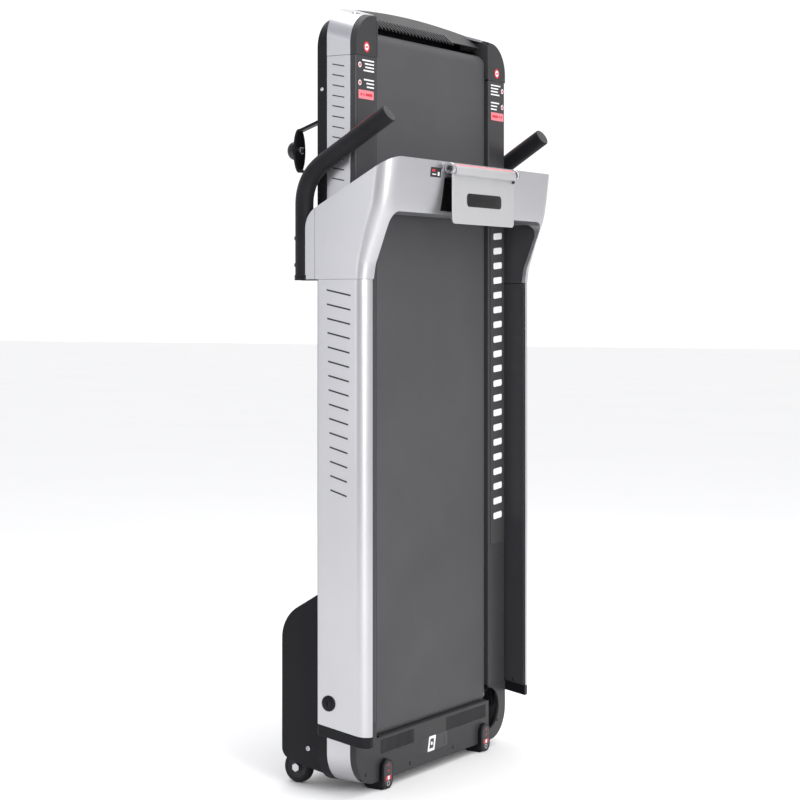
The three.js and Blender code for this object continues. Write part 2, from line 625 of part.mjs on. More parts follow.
const FOOT_STEM = -14; // the screw's inner end
function levellingFoot() {
  const dome = [[5, 0.3], [20, 0.3], [21.5, 5], [20, 13], [15, 19.5], [8, 23], [0, 24]];
  const points = [[0, FOOT_STEM], [5, FOOT_STEM], ...dome].map(([r, y]) => new THREE.Vector2(r, y));
  return new THREE.LatheGeometry(points, 28).translate(-STAND_X, STAND_Y, STAND_Z);
}
addPair(deck, 'levelling_foot', levellingFoot(), RUBBER);

// ---- fold shaft ----
add(deck, 'fold_shaft', rod(PIVOT_RADIUS, -364.5, 364.5, PIVOT_Y, PIVOT_Z), STEEL);

// ---- uprights ----
// A region below a plane that rises towards the back by END_SLOPE, through z at the front face.
function belowSlope(z) {
  const at = (y) => z + (y - UPRIGHT_FRONT) * END_SLOPE;
  return extrude(polygon([[-200, -100], [300, -100], [300, at(300)], [-200, at(-200)]]), 'X', -500, -200);
}

function uprightProfile(inset, inner) {
  return rounded([
    [-inner, UPRIGHT_FRONT + inset], [-inner, UPRIGHT_BACK - inset],
    [-UPRIGHT_OUTER + inset, UPRIGHT_BACK - inset, Math.max(5 - inset, 1)],
    [-UPRIGHT_OUTER + inset, UPRIGHT_FRONT + inset, UPRIGHT_ROUND - inset],
  ]);
}

const COVER_THICK = 4;
const SHELL_EDGE = UPRIGHT_INNER + COVER_THICK + GAP;
addPair(arch, 'upright_shell', subtract(
  extrude(uprightProfile(0, SHELL_EDGE), 'Z', 100, UPRIGHT_TOP),
  extrude(uprightProfile(UPRIGHT_WALL, SHELL_EDGE - 5), 'Z', 50, 1200),
  belowSlope(UPRIGHT_END + END_CAP_HEIGHT + GAP),
), SILVER);
addPair(arch, 'upright_end_cap', subtract(
  keep(extrude(uprightProfile(0, UPRIGHT_INNER), 'Z', 100, 200), belowSlope(UPRIGHT_END + END_CAP_HEIGHT)),
  belowSlope(UPRIGHT_END),
), BLACK);
addPair(arch, 'upright_tube', subtract(
  block(-363.5, -342, 20, 66, 175, 1180),
  block(-361, -344.5, 22.5, 63.5, 100, 1300),
  pivotHole,
), FRAME_PAINT);

// ---- console arch ----
const slopeZ = (y) => CONSOLE_TOP_Z - (y - CONSOLE_TOP_Y) * Math.tan(CONSOLE_SLOPE);
// The arch's front, seen from the side: a smooth curve through [height, y] points. It leaves the upright
// vertically and leans forward to the console's top edge.
const ARCH_FRONT = new THREE.SplineCurve([
  [UPRIGHT_TOP + GAP, UPRIGHT_FRONT], [1126, -54], [1144, -60.5], [1185, -76], [1218, -89],
  [1250, -99.5], [1300, -107.5], [1353, -113.5],
].map(([z, y]) => new THREE.Vector2(z, y)));
const ARCH_CORNER = [UPRIGHT_ROUND, 40]; // radius of the outer front edge, at the upright and at the console

// The arch's whole front and sides as one solid: plan outlines with round front corners, joined upwards.
function archLoft(inset) {
  const half = UPRIGHT_OUTER - inset;
  const corner = 9;
  const rings = ARCH_FRONT.getPoints(24).map(({ x: z, y }) => {
    const grown = THREE.MathUtils.smoothstep(z, UPRIGHT_TOP, 1220);
    const r = THREE.MathUtils.lerp(...ARCH_CORNER, grown) - inset;
    const ring = [];
    for (const side of [-1, 1]) {
      for (let i = 0; i <= corner; i += 1) {
        const t = (Math.PI / 2) * ((side < 0 ? i : corner - i) / corner);
        ring.push([side * (half - r + r * Math.cos(t)), y + inset + r - r * Math.sin(t), z]);
      }
    }
    ring.push([half, SHROUD_BACK - inset, z], [-half, SHROUD_BACK - inset, z]);
    return ring;
  });
  const count = rings[0].length;
  const triangles = [];
  for (let level = 0; level < rings.length - 1; level += 1) {
    const [below, above] = [rings[level], rings[level + 1]];
    for (let i = 0; i < count; i += 1) {
      const j = (i + 1) % count;
      triangles.push(below[i], below[j], above[j], below[i], above[j], above[i]);
    }
  }
  for (let i = 1; i < count - 1; i += 1) {
    triangles.push(rings[0][0], rings[0][i + 1], rings[0][i]);
    triangles.push(rings.at(-1)[0], rings.at(-1)[i], rings.at(-1)[i + 1]);
  }
  const geometry = new THREE.BufferGeometry();
  geometry.setAttribute('position', new THREE.Float32BufferAttribute(triangles.flat(), 3));
  return geometry;
}

// Side profile that the shrouds are cut to: the console's slope on top and a large round at the back.
function shroudSide(inset, x0, x1) {
  return extrude(rounded([
    [-200, UPRIGHT_TOP], [SHROUD_BACK - inset, UPRIGHT_TOP],
    [SHROUD_BACK - inset, slopeZ(SHROUD_BACK) - inset, 50], [-200, slopeZ(-200) - inset],
  ]), 'X', x0, x1);
}

// The handlebar's centre line: up along the shroud's back edge, a bend, then forward, up and slightly in.
function barPath() {
  const knee = new THREE.Vector3(-BAR_X, BAR_Y, BAR_KNEE_Z);
  const tip = new THREE.Vector3(-BAR_TIP[0], BAR_TIP[1], BAR_TIP[2]);
  const upward = new THREE.Vector3(0, 0, 1);
  const forward = tip.clone().sub(knee).normalize();
  const reach = BAR_BEND * Math.tan(forward.angleTo(upward) / 2);
  const foot = new THREE.Vector3(-BAR_X, BAR_Y, UPRIGHT_TOP + 2);
  const bendStart = knee.clone().addScaledVector(upward, -reach);
  const bendEnd = knee.clone().addScaledVector(forward, reach);
  const path = new THREE.CurvePath();
  path.add(new THREE.LineCurve3(foot, bendStart));
  path.add(new THREE.QuadraticBezierCurve3(bendStart, knee, bendEnd));
  path.add(new THREE.LineCurve3(bendEnd, tip));
  return path;
}
function handlebar() {
  const section = new THREE.Shape();
  section.absarc(0, 0, BAR_RADIUS, 0, 2 * Math.PI, false);
  return new THREE.ExtrudeGeometry(section, {
    extrudePath: barPath(), steps: 26, curveSegments: 9, bevelEnabled: false,
  });
}
addPair(arch, 'handlebar', handlebar(), RUBBER);

const barChannel = new THREE.CylinderGeometry(BAR_RADIUS + 0.5, BAR_RADIUS + 0.5, 400, 24)
  .rotateX(Math.PI / 2).translate(-BAR_X, BAR_Y, 1200);
const SHROUD_WALL = 3.5;
const SHROUD_CAVITY_BACK = SHROUD_BACK - 12;
addPair(arch, 'console_shroud', subtract(
  keep(archLoft(0), shroudSide(0, -400, -UPRIGHT_INNER)),
  keep(
    keep(archLoft(SHROUD_WALL), shroudSide(SHROUD_WALL, -400, -200)),
    block(-400, -200, -200, SHROUD_CAVITY_BACK, 1000, 1500),
  ),
  block(-364.5, -300, UPRIGHT_FRONT + 4, UPRIGHT_BACK, 1000, 1150),
  barChannel,
), SILVER);

// The dark cover on the inside of the upright runs on behind the shroud's rim.
addPair(arch, 'upright_cover', subtract(
  unite(
    block(-SHELL_EDGE + GAP, -UPRIGHT_INNER, UPRIGHT_FRONT + 4, UPRIGHT_BACK - 1, 100, UPRIGHT_TOP + 5),
    keep(
      keep(archLoft(SHROUD_WALL + GAP), shroudSide(SHROUD_WALL + GAP, -SHELL_EDGE + GAP, -UPRIGHT_INNER)),
      block(-400, -200, -200, SHROUD_CAVITY_BACK - GAP, 1000, 1500),
    ),
  ),
  belowSlope(UPRIGHT_END + END_CAP_HEIGHT + GAP),
  pivotHole,
), CHARCOAL);

function beamSide(inset, half) {
  return extrude(rounded([
    [-200, BEAM_BOTTOM + inset], [BEAM_BACK - inset, BEAM_BOTTOM + inset, 4],
    [BEAM_BACK - inset, slopeZ(BEAM_BACK) - inset, 6], [-200, slopeZ(-200) - inset],
  ]), 'X', -half, half);
}

const BEAM_HALF = UPRIGHT_INNER - GAP;
// A gusset that rounds the corner between the beam's underside and the shroud.
const ARCH_FILLET = 26;
function gusset() {
  const corner = -BEAM_HALF;
  const shape = new THREE.Shape();
  shape.moveTo(corner, BEAM_BOTTOM + 2);
  shape.lineTo(corner, BEAM_BOTTOM - ARCH_FILLET);
  shape.absarc(corner + ARCH_FILLET, BEAM_BOTTOM - ARCH_FILLET, ARCH_FILLET, Math.PI, Math.PI / 2, true);
  shape.lineTo(corner + ARCH_FILLET, BEAM_BOTTOM + 2);
  return keep(archLoft(0), extrude(shape, 'Y', -200, BEAM_BACK));
}
const consoleFace = new THREE.Group();
consoleFace.rotation.x = -CONSOLE_SLOPE;
consoleFace.position.set(0, (CONSOLE_TOP_Y + BEAM_BACK) / 2, slopeZ((CONSOLE_TOP_Y + BEAM_BACK) / 2));
consoleFace.updateMatrix();

const BUTTONS = { start_button: 62, speed_up_button: 102, speed_down_button: 142 };
const BUTTON_RADIUS = 11;
const BUTTON_HEIGHT = 9;
const KEY_X = -122;
const KEY_RADIUS = 12;
const onFace = (geometry) => geometry.applyMatrix4(consoleFace.matrix);
function peg(radius, z0, z1, x) {
  const geometry = new THREE.CylinderGeometry(radius, radius, z1 - z0, 24);
  return geometry.rotateX(Math.PI / 2).translate(x, 0, (z0 + z1) / 2);
}
const buttonHoles = Object.values(BUTTONS).map((x) => onFace(peg(BUTTON_RADIUS + 0.6, -20, 20, x)));
add(arch, 'console_beam', subtract(
  unite(keep(archLoft(0), beamSide(0, BEAM_HALF)), gusset(), mirrored(gusset())),
  keep(archLoft(SHROUD_WALL), beamSide(SHROUD_WALL, BEAM_HALF + 5)),
  block(-POCKET_HALF, POCKET_HALF, -130, -90, ...POCKET_Z),
  onFace(block(-70, 40, -34, 34, -10, 20)),
  onFace(peg(KEY_RADIUS + 1, -20, 20, KEY_X)),
  ...buttonHoles,
), SILVER);

function pocketLiner() {
  const [low, high] = [POCKET_Z[0] + GAP, POCKET_Z[1] - GAP];
  const half = POCKET_HALF - GAP;
  const wall = 2;
  return subtract(
    block(-half, half, -99, POCKET_BACK, low, high),
    block(-half + wall, half - wall, -110, POCKET_BACK - wall, low + wall, high - wall),
  );
}
add(arch, 'pocket_liner', pocketLiner(), BLACK);

function displayPanel() {
  return unite(block(-69.5, 39.5, -33.5, 33.5, -4, 1.2), block(-60, 30, -24, 28, -8, -3));
}
add(consoleFace, 'console_display', displayPanel(), BLACK);
for (const [name, x] of Object.entries(BUTTONS)) {
  add(consoleFace, name, peg(BUTTON_RADIUS, -BUTTON_HEIGHT, 2.5, x), CHARCOAL);
}
function safetyKey() {
  const stem = peg(KEY_RADIUS, -9, 6, KEY_X);
  const grip = block(KEY_X - 3, KEY_X + 3, -10, 10, 5, 16);
  return unite(stem, grip);
}
add(consoleFace, 'safety_key', safetyKey(), () => material(0xb3202c, 0.5, 0));
arch.add(consoleFace);

// ---- tablet rest: a plate hanging from a tube on the beam's front ----
function tabletTube() {
  const tube = rod(TABLET_TUBE, -TABLET_HALF - 12, TABLET_HALF + 12, TABLET_Y, TABLET_Z, 24);
  const knob = rod(TABLET_TUBE + 1.5, -TABLET_HALF - 14, -TABLET_HALF - 4, TABLET_Y, TABLET_Z, 24);
  return unite(tube, knob, mirrored(knob));
}
add(arch, 'tablet_tube', tabletTube(), SILVER);

function tabletPlate() {
  const low = TABLET_Z - TABLET_DROP;
  const high = TABLET_Z - TABLET_TUBE - GAP;
  const half = TABLET_HALF;
  const plate = rounded([[-half, low, 8], [half, low, 8], [half, high], [-half, high]]);
  return extrude(plate, 'Y', TABLET_Y - 2, TABLET_Y + 1.5);
}
add(arch, 'tablet_plate', tabletPlate(), SILVER);

const treadmill = new THREE.Group();
treadmill.add(deck, arch);
treadmill.position.y = -ORIGIN_Y;
treadmill.updateMatrixWorld(true);

export default treadmill;
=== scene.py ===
import json
import math

import bmesh
import bpy
from mathutils import Matrix, Vector


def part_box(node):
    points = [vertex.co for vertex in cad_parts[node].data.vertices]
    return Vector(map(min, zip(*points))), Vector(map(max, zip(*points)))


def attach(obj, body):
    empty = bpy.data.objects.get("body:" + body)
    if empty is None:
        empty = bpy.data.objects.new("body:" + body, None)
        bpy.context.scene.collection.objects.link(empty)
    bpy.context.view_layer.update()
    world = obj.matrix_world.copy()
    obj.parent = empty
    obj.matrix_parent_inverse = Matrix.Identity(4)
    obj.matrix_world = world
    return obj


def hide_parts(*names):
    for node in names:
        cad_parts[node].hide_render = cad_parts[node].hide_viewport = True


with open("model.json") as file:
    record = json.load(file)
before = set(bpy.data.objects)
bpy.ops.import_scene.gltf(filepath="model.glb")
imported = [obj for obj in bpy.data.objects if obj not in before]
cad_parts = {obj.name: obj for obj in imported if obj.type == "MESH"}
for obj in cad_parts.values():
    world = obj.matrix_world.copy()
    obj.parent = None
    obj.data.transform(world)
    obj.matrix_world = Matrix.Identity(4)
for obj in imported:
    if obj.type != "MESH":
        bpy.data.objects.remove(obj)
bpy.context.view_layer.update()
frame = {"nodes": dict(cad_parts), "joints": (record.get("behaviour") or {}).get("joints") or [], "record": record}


# ---- places read from the frame ----
DECK_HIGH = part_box("underframe")[1]
FACE_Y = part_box("left_foot_rail")[0].y  # running-surface plane
DECK_HALF = DECK_HIGH.x
RAIL_INNER = -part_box("left_foot_rail")[1].x
SHROUD_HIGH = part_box("left_console_shroud")[1]
HOOD_LOW, HOOD_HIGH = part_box("motor_hood")


def joint(name):
    return next(j for j in frame["joints"] if j["name"] == name)


PIVOT = Vector(joint("fold")["pos_m"])


# ---- camera: the photograph's viewing angle, level, with its picture shifted down ----
def make_camera():
    data = bpy.data.cameras.new("camera")
    data.lens = 90.6
    data.sensor_width = 36
    data.shift_y = -0.114
    camera = bpy.data.objects.new("camera", data)
    bpy.context.scene.collection.objects.link(camera)
    camera.location = (-3.895, -2.339, 1.033)
    camera.rotation_euler = Vector((0.8526, 0.5225, 0)).to_track_quat("-Z", "Y").to_euler()
    bpy.context.scene.camera = camera


make_camera()


# ---- materials ----
class Finish:
    """One procedural material: base colour with slow variation, roughness variation and a fine bump."""

    def __init__(self, name, color, roughness, metallic=0.0):
        self.material = bpy.data.materials.new(name)
        self.material.use_nodes = True
        self.tree = self.material.node_tree
        self.shader = self.tree.nodes["Principled BSDF"]
        self.shader.inputs["Metallic"].default_value = metallic
        self.coords = self.node("ShaderNodeTexCoord").outputs["Object"]
        self.color = color
        self.roughness = roughness
        self.height = None

    def node(self, kind, **values):
        node = self.tree.nodes.new(kind)
        for key, value in values.items():
            if key in node.inputs:
                node.inputs[key].default_value = value
            else:
                setattr(node, key, value)
        return node

    def link(self, output, socket):
        self.tree.links.new(output, socket)

    def noise(self, scale, detail=4, stretch=None):
        node = self.node("ShaderNodeTexNoise", Scale=scale, Detail=detail)
        self.link(self.mapped(stretch), node.inputs["Vector"])
        return node.outputs["Fac"]

    def mapped(self, stretch=None, rotation=None):
        if stretch is None and rotation is None:
            return self.coords
        node = self.node("ShaderNodeMapping")
        node.inputs["Scale"].default_value = stretch or (1, 1, 1)
        node.inputs["Rotation"].default_value = rotation or (0, 0, 0)
        self.link(self.coords, node.inputs["Vector"])
        return node.outputs["Vector"]

    def ramp(self, value, low, high, out_low=0.0, out_high=1.0):
        node = self.node("ShaderNodeMapRange")
        for key, number in zip(("From Min", "From Max", "To Min", "To Max"), (low, high, out_low, out_high)):
            node.inputs[key].default_value = number
        self.link(value, node.inputs["Value"])
        return node.outputs["Result"]

    def math(self, operation, a, b):
        node = self.node("ShaderNodeMath", operation=operation)
        for socket, value in zip(node.inputs, (a, b)):
            if isinstance(value, (int, float)):
                socket.default_value = value
            else:
                self.link(value, socket)
        return node.outputs[0]

    def mix(self, factor, first, second):
        node = self.node("ShaderNodeMix", data_type="RGBA")
        for index, value in ((6, first), (7, second)):
            if isinstance(value, tuple):
                node.inputs[index].default_value = (*value, 1)
            else:
                self.link(value, node.inputs[index])
        self.link(factor, node.inputs[0])
        return node.outputs[2]

    def vary(self, scale=6, amount=0.08, stretch=None):
        """Slow colour variation between a darker and a lighter tone."""
        low = tuple(c * (1 - amount) for c in self.color)
        high = tuple(min(1, c * (1 + amount)) for c in self.color)
        out = self.mix(self.ramp(self.noise(scale, 5, stretch), 0.3, 0.7), low, high)
        self.link(out, self.shader.inputs["Base Color"])
        self.base = out
        return self

    def smudge(self, scale=9, amount=0.06, stretch=None):
        value = self.noise(scale, 6, stretch)
        out = self.ramp(value, 0.3, 0.7, self.roughness - amount, self.roughness + amount)
        self.link(out, self.shader.inputs["Roughness"])
        return self

    def bump(self, height, strength, distance=0.0002):
        node = self.node("ShaderNodeBump", Strength=strength, Distance=distance)
        self.link(height, node.inputs["Height"])
        if self.height is not None:
            self.link(self.height, node.inputs["Normal"])
        self.height = node.outputs["Normal"]
        self.link(self.height, self.shader.inputs["Normal"])
        return self

    def grain(self, size=0.0006, strength=0.35):
        """Moulded-in spark grain: small cells with soft edges."""
        node = self.node("ShaderNodeTexVoronoi", Scale=1 / size, feature="SMOOTH_F1")
        self.link(self.coords, node.inputs["Vector"])
        return self.bump(node.outputs["Distance"], strength)

    def coat(self, weight, roughness):
        self.shader.inputs["Coat Weight"].default_value = weight
        self.shader.inputs["Coat Roughness"].default_value = roughness
        return self

    def dull(self, level):
        self.shader.inputs["Specular IOR Level"].default_value = level
        return self

    def sheen(self, weight, roughness=0.5):
        self.shader.inputs["Sheen Weight"].default_value = weight
        self.shader.inputs["Sheen Roughness"].default_value = roughness
        return self


def silver_paint():
    """Metallic silver paint over moulded plastic: aluminium flakes under a satin clear coat."""
    f = Finish("silver_paint", (0.38, 0.38, 0.40), 0.30, 0.85)
    flakes = f.node("ShaderNodeTexVoronoi", Scale=2600)
    f.link(f.coords, flakes.inputs["Vector"])
    tone = f.ramp(flakes.outputs["Color"], 0, 1, 0, 1)
    slow = f.ramp(f.noise(3, 3), 0.3, 0.7)
    both = f.math("ADD", f.math("MULTIPLY", tone, 0.65), f.math("MULTIPLY", slow, 0.35))
    f.link(f.mix(both, (0.46, 0.46, 0.48), (0.58, 0.58, 0.60)), f.shader.inputs["Base Color"])
    f.smudge(5, 0.03)
    f.bump(f.noise(420, 2), 0.06, 0.0003)
    return f.coat(0.25, 0.18).material


def silver_plain():
    f = Finish("silver_metal", (0.50, 0.50, 0.51), 0.38, 0.5).vary(8, 0.03).smudge(14, 0.05)
    return f.bump(f.noise(900, 2), 0.05, 0.0002).material


def charcoal():
    f = Finish("charcoal_plastic", (0.030, 0.030, 0.032), 0.44).dull(0.25).vary(5, 0.10).smudge(7, 0.06)
    return f.grain(0.0007, 0.4).material


def rail_plastic():
    f = Finish("rail_plastic", (0.034, 0.034, 0.037), 0.36).dull(0.28).vary(4, 0.08).smudge(6, 0.05)
    return f.grain(0.0006, 0.25).material


def black_plastic():
    f = Finish("black_plastic", (0.007, 0.007, 0.009), 0.32).dull(0.16).vary(6, 0.2).smudge(5, 0.06)
    return f.grain(0.0008, 0.22).material


def gloss_black():
    f = Finish("gloss_black", (0.008, 0.008, 0.009), 0.16).vary(9, 0.2).smudge(8, 0.04)
    return f.bump(f.noise(60, 2), 0.03, 0.0004).material


def powder_coat():
    f = Finish("powder_coat", (0.009, 0.009, 0.011), 0.40).dull(0.15).vary(7, 0.15).smudge(8, 0.07)
    return f.bump(f.noise(700, 3), 0.25, 0.0003).material


def steel():
    f = Finish("bare_steel", (0.55, 0.55, 0.57), 0.28, 1.0).vary(12, 0.06).smudge(20, 0.08, (8, 1, 1))
    return f.bump(f.noise(900, 2, (0.2, 3, 3)), 0.08, 0.0001).material


def rubber():
    f = Finish("black_rubber", (0.012, 0.012, 0.013), 0.62).dull(0.2).vary(9, 0.2).smudge(11, 0.08)
    return f.bump(f.noise(800, 3), 0.3, 0.0002).sheen(0.03).material


def foam():
    """Foam grip: closed cells with fine pits and a soft sheen."""
    f = Finish("foam_grip", (0.008, 0.008, 0.010), 0.60).dull(0.18).vary(16, 0.25).smudge(20, 0.06)
    pits = f.node("ShaderNodeTexVoronoi", Scale=900)
    f.link(f.coords, pits.inputs["Vector"])
    f.bump(pits.outputs["Distance"], 0.55, 0.0003)
    return f.bump(f.noise(140, 4), 0.25, 0.0005).sheen(0.06, 0.45).material


def belt_weave():
    """PVC belt face: small raised lozenges over a woven backing."""
    f = Finish("belt_weave", (0.052, 0.052, 0.054), 0.62)
    heights = []
    for angle in (38, -38):
        wave = f.node("ShaderNodeTexWave", Scale=105, Distortion=0.4, bands_direction="Z")
        wave.inputs["Detail"].default_value = 1
        f.link(f.mapped(None, (0, math.radians(angle), 0)), wave.inputs["Vector"])
        heights.append(wave.outputs["Fac"])
    lozenge = f.math("MULTIPLY", *heights)
    speck = f.ramp(f.noise(700, 3), 0.35, 0.65)
    tone = f.math("ADD", f.math("MULTIPLY", lozenge, 0.5), f.math("MULTIPLY", speck, 0.35))
    slow = f.ramp(f.noise(3, 4), 0.3, 0.7, 0, 0.25)
    f.link(f.mix(f.math("ADD", tone, slow), (0.034, 0.034, 0.037), (0.070, 0.070, 0.075)),
           f.shader.inputs["Base Color"])
    f.smudge(5, 0.07)
    f.bump(lozenge, 0.45, 0.0004)
    return f.bump(f.noise(900, 3), 0.2, 0.0002).material


def tread_pad():
    """Anti-slip pad: coarse round pips."""
    f = Finish("tread_pad", (0.030, 0.030, 0.031), 0.60).vary(9, 0.15).smudge(9, 0.06)
    pips = f.node("ShaderNodeTexVoronoi", Scale=420)
    f.link(f.coords, pips.inputs["Vector"])
    return f.bump(f.ramp(pips.outputs["Distance"], 0, 0.6, 1, 0), 0.7, 0.0006).material


def board_wood():
    f = Finish("phenolic_board", (0.045, 0.030, 0.020), 0.45).vary(30, 0.3, (1, 1, 0.15)).smudge(20, 0.08)
    return f.bump(f.noise(300, 3), 0.15, 0.0002).material


def ink(name, color):
    """Printed or anodised marks: nearly even, with a slight mottle."""
    f = Finish(name, color, 0.45).vary(60, 0.05).smudge(30, 0.05)
    return f.bump(f.noise(500, 2), 0.08, 0.0001).material


def glass_panel():
    f = Finish("display_window", (0.006, 0.007, 0.008), 0.08).vary(12, 0.25).smudge(6, 0.03)
    return f.coat(0.6, 0.03).material


MATERIALS = {
    "silver_shell": silver_paint(),
    "silver_metal": silver_plain(),
    "charcoal_plastic": charcoal(),
    "rail": rail_plastic(),
    "black_plastic": black_plastic(),
    "gloss_black": gloss_black(),
    "frame_paint": powder_coat(),
    "bare_steel": steel(),
    "black_rubber": rubber(),
    "bar_foam": foam(),
    "running_belt": belt_weave(),
    "tread_pad": tread_pad(),
    "board": board_wood(),
    "white_ink": ink("white_ink", (0.80, 0.80, 0.80)),
    "black_ink": ink("black_ink", (0.012, 0.012, 0.015)),
    "red_ink": ink("red_ink", (0.55, 0.015, 0.035)),
    "pink_ink": ink("pink_ink", (0.75, 0.20, 0.24)),
    "key_red": ink("key_red", (0.45, 0.012, 0.02)),
    "glass": glass_panel(),
}


# ---- mesh helpers ----
def piece(name, mesh, finish, body, replaces=(), smooth=35):
    """Makes the object, gives it its finish, shades it, ties it to its body and hides the CAD nodes that it stands
    for.
    """
    obj = bpy.data.objects.new(name, mesh)
    bpy.context.scene.collection.objects.link(obj)
    mesh.materials.clear()
    mesh.materials.append(MATERIALS[finish])
    for polygon in mesh.polygons:
        polygon.use_smooth = True
    mesh.set_sharp_from_angle(angle=math.radians(smooth))
    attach(obj, body)
    if replaces:
        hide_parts(*replaces)
    return obj


def bevel(obj, width, segments=3, angle=30):
    modifier = obj.modifiers.new("edges", "BEVEL")
    modifier.width = width
    modifier.segments = segments
    modifier.limit_method = "ANGLE"
    modifier.angle_limit = math.radians(angle)
    modifier.use_clamp_overlap = True
    modifier.harden_normals = False
    normals = obj.modifiers.new("normals", "WEIGHTED_NORMAL")
    normals.keep_sharp = True
    return obj


def clean_copy(node):
    """The CAD node's mesh with shared vertices and without the triangulation of its flat faces."""
    mesh = frame["nodes"][node].data.copy()
    bm = bmesh.new()
    bm.from_mesh(mesh)
    bmesh.ops.remove_doubles(bm, verts=bm.verts, dist=0.00002)
    bmesh.ops.dissolve_limit(bm, angle_limit=math.radians(0.6), verts=bm.verts, edges=bm.edges)
    bmesh.ops.recalc_face_normals(bm, faces=bm.faces)
    bm.to_mesh(mesh)
    bm.free()
    return mesh


def body_of(node):
    return next(body for body, nodes in frame["record"]["behaviour"]["bodies"].items() if node in nodes)


def refine(node, finish, width=0.0012, segments=3, angle=30):
    """A finer stand-in for a CAD node: the same shape with its edges eased."""
    obj = piece(node + "_fine", clean_copy(node), finish, body_of(node), [node])
    return bevel(obj, width, segments, angle) if width else obj


def both_sides(name):
    return [f"{side}_{name}" for side in ("left", "right")]


def rounded(corners, step=math.radians(9)):
    """Outline points of a polygon with round corners; each corner is (a, b, radius)."""
    points = []
    count = len(corners)
    for i, (a, b, radius) in enumerate(corners):
        corner = Vector((a, b))
        to_before = (Vector(corners[i - 1][:2]) - corner).normalized()
        to_after = (Vector(corners[(i + 1) % count][:2]) - corner).normalized()
        if radius <= 0:
            points.append(corner)
            continue
        half = to_before.angle(to_after) / 2
        middle = (to_before + to_after).normalized()
        centre = corner + middle * radius / math.sin(half)
        start = corner + to_before * radius / math.tan(half) - centre
        sweep = math.pi - 2 * half
        steps = max(2, round(sweep / step))
        sign = -1 if to_before.x * to_after.y - to_before.y * to_after.x > 0 else 1
        for k in range(steps + 1):
            t = sign * sweep * k / steps
            points.append(centre + Matrix.Rotation(t, 2) @ start)
    return points


AXES = {
    "X": Matrix(((0, 0, 1), (1, 0, 0), (0, 1, 0))).to_4x4(),
    "Y": Matrix(((1, 0, 0), (0, 0, -1), (0, 1, 0))).to_4x4(),
    "Z": Matrix.Identity(4),
}


def prism_mesh(outlines, axis, low, high, edge=0.0):
    """Outlines (holes after the first) extruded along an axis, with round edges of radius edge."""
    curve = bpy.data.curves.new("prism", "CURVE")
    curve.dimensions = "2D"
    curve.fill_mode = "BOTH"
    curve.extrude = (high - low) / 2 - edge
    curve.bevel_depth = edge
    curve.bevel_resolution = 3
    curve.offset = -edge
    for outline in outlines:
        spline = curve.splines.new("POLY")
        spline.points.add(len(outline) - 1)
        for point, (a, b) in zip(spline.points, outline):
            point.co = (a, b, 0, 1)
        spline.use_cyclic_u = True
    holder = bpy.data.objects.new("prism", curve)
    bpy.context.scene.collection.objects.link(holder)
    bpy.context.view_layer.update()
    mesh = bpy.data.meshes.new_from_object(holder)
    bpy.data.objects.remove(holder)
    bpy.data.curves.remove(curve)
    middle = (low + high) / 2
    offset = {"X": (middle, 0, 0), "Y": (0, middle, 0), "Z": (0, 0, middle)}[axis]
    mesh.transform(Matrix.Translation(offset) @ AXES[axis])
    bm = bmesh.new()
    bm.from_mesh(mesh)
    bmesh.ops.remove_doubles(bm, verts=bm.verts, dist=0.00001)
    bmesh.ops.recalc_face_normals(bm, faces=bm.faces)
    bm.to_mesh(mesh)
    bm.free()
    return mesh


def prism(name, outline, axis, low, high, finish, body, edge=0.0005, holes=(), replaces=()):
    return piece(name, prism_mesh([outline, *holes], axis, low, high, edge), finish, body, replaces)


def disc(radius, centre=(0, 0), count=40):
    return [Vector((centre[0] + radius * math.cos(2 * math.pi * i / count),
                    centre[1] + radius * math.sin(2 * math.pi * i / count))) for i in range(count)]


def turned_mesh(profile, direction, centre, segments=48):
    """Spins (along, radius) points around a line through centre; the profile starts and ends on the axis
    or closes on itself."""
    bm = bmesh.new()
    closed = profile[0] == profile[-1]
    rows = profile[:-1] if closed else profile
    rings = []
    for along, radius in rows:
        if radius < 1e-6:
            rings.append([bm.verts.new((0, 0, along))])
            continue
        rings.append([bm.verts.new((radius * math.cos(2 * math.pi * i / segments),
                                    radius * math.sin(2 * math.pi * i / segments), along))
                      for i in range(segments)])
    pairs = list(zip(rings, rings[1:])) + ([(rings[-1], rings[0])] if closed else [])
    for a, b in pairs:
        for i in range(segments):
            j = (i + 1) % segments
            corners = [a[i % len(a)], a[j % len(a)], b[j % len(b)], b[i % len(b)]]
            unique = list(dict.fromkeys(corners))
            if len(unique) > 2:
                bm.faces.new(unique)
    bmesh.ops.recalc_face_normals(bm, faces=bm.faces)
    mesh = bpy.data.meshes.new("turned")
    bm.to_mesh(mesh)
    bm.free()
    turn = Vector(direction).to_track_quat("Z", "Y").to_matrix().to_4x4()
    mesh.transform(Matrix.Translation(centre) @ turn)
    return mesh


def turned(name, profile, direction, centre, finish, body, replaces=(), segments=48, smooth=35):
    return piece(name, turned_mesh(profile, direction, centre, segments), finish, body, replaces, smooth)


def boolean(obj, other_mesh, operation):
    """Joins or cuts obj with a mesh at once."""
    other = bpy.data.objects.new("tool", other_mesh)
    bpy.context.scene.collection.objects.link(other)
    modifier = obj.modifiers.new("cut", "BOOLEAN")
    modifier.operation = operation
    modifier.object = other
    modifier.solver = "EXACT"
    bpy.context.view_layer.update()
    result = bpy.data.meshes.new_from_object(obj.evaluated_get(bpy.context.evaluated_depsgraph_get()))
    obj.modifiers.remove(modifier)
    bpy.data.objects.remove(other)
    old = obj.data
    obj.data = result
    bpy.data.meshes.remove(old)


def block_mesh(low, high):
    return prism_mesh([rounded([(low[0], low[1], 0), (high[0], low[1], 0), (high[0], high[1], 0),
                                (low[0], high[1], 0)])], "Z", low[2], high[2])


COUNT = {}


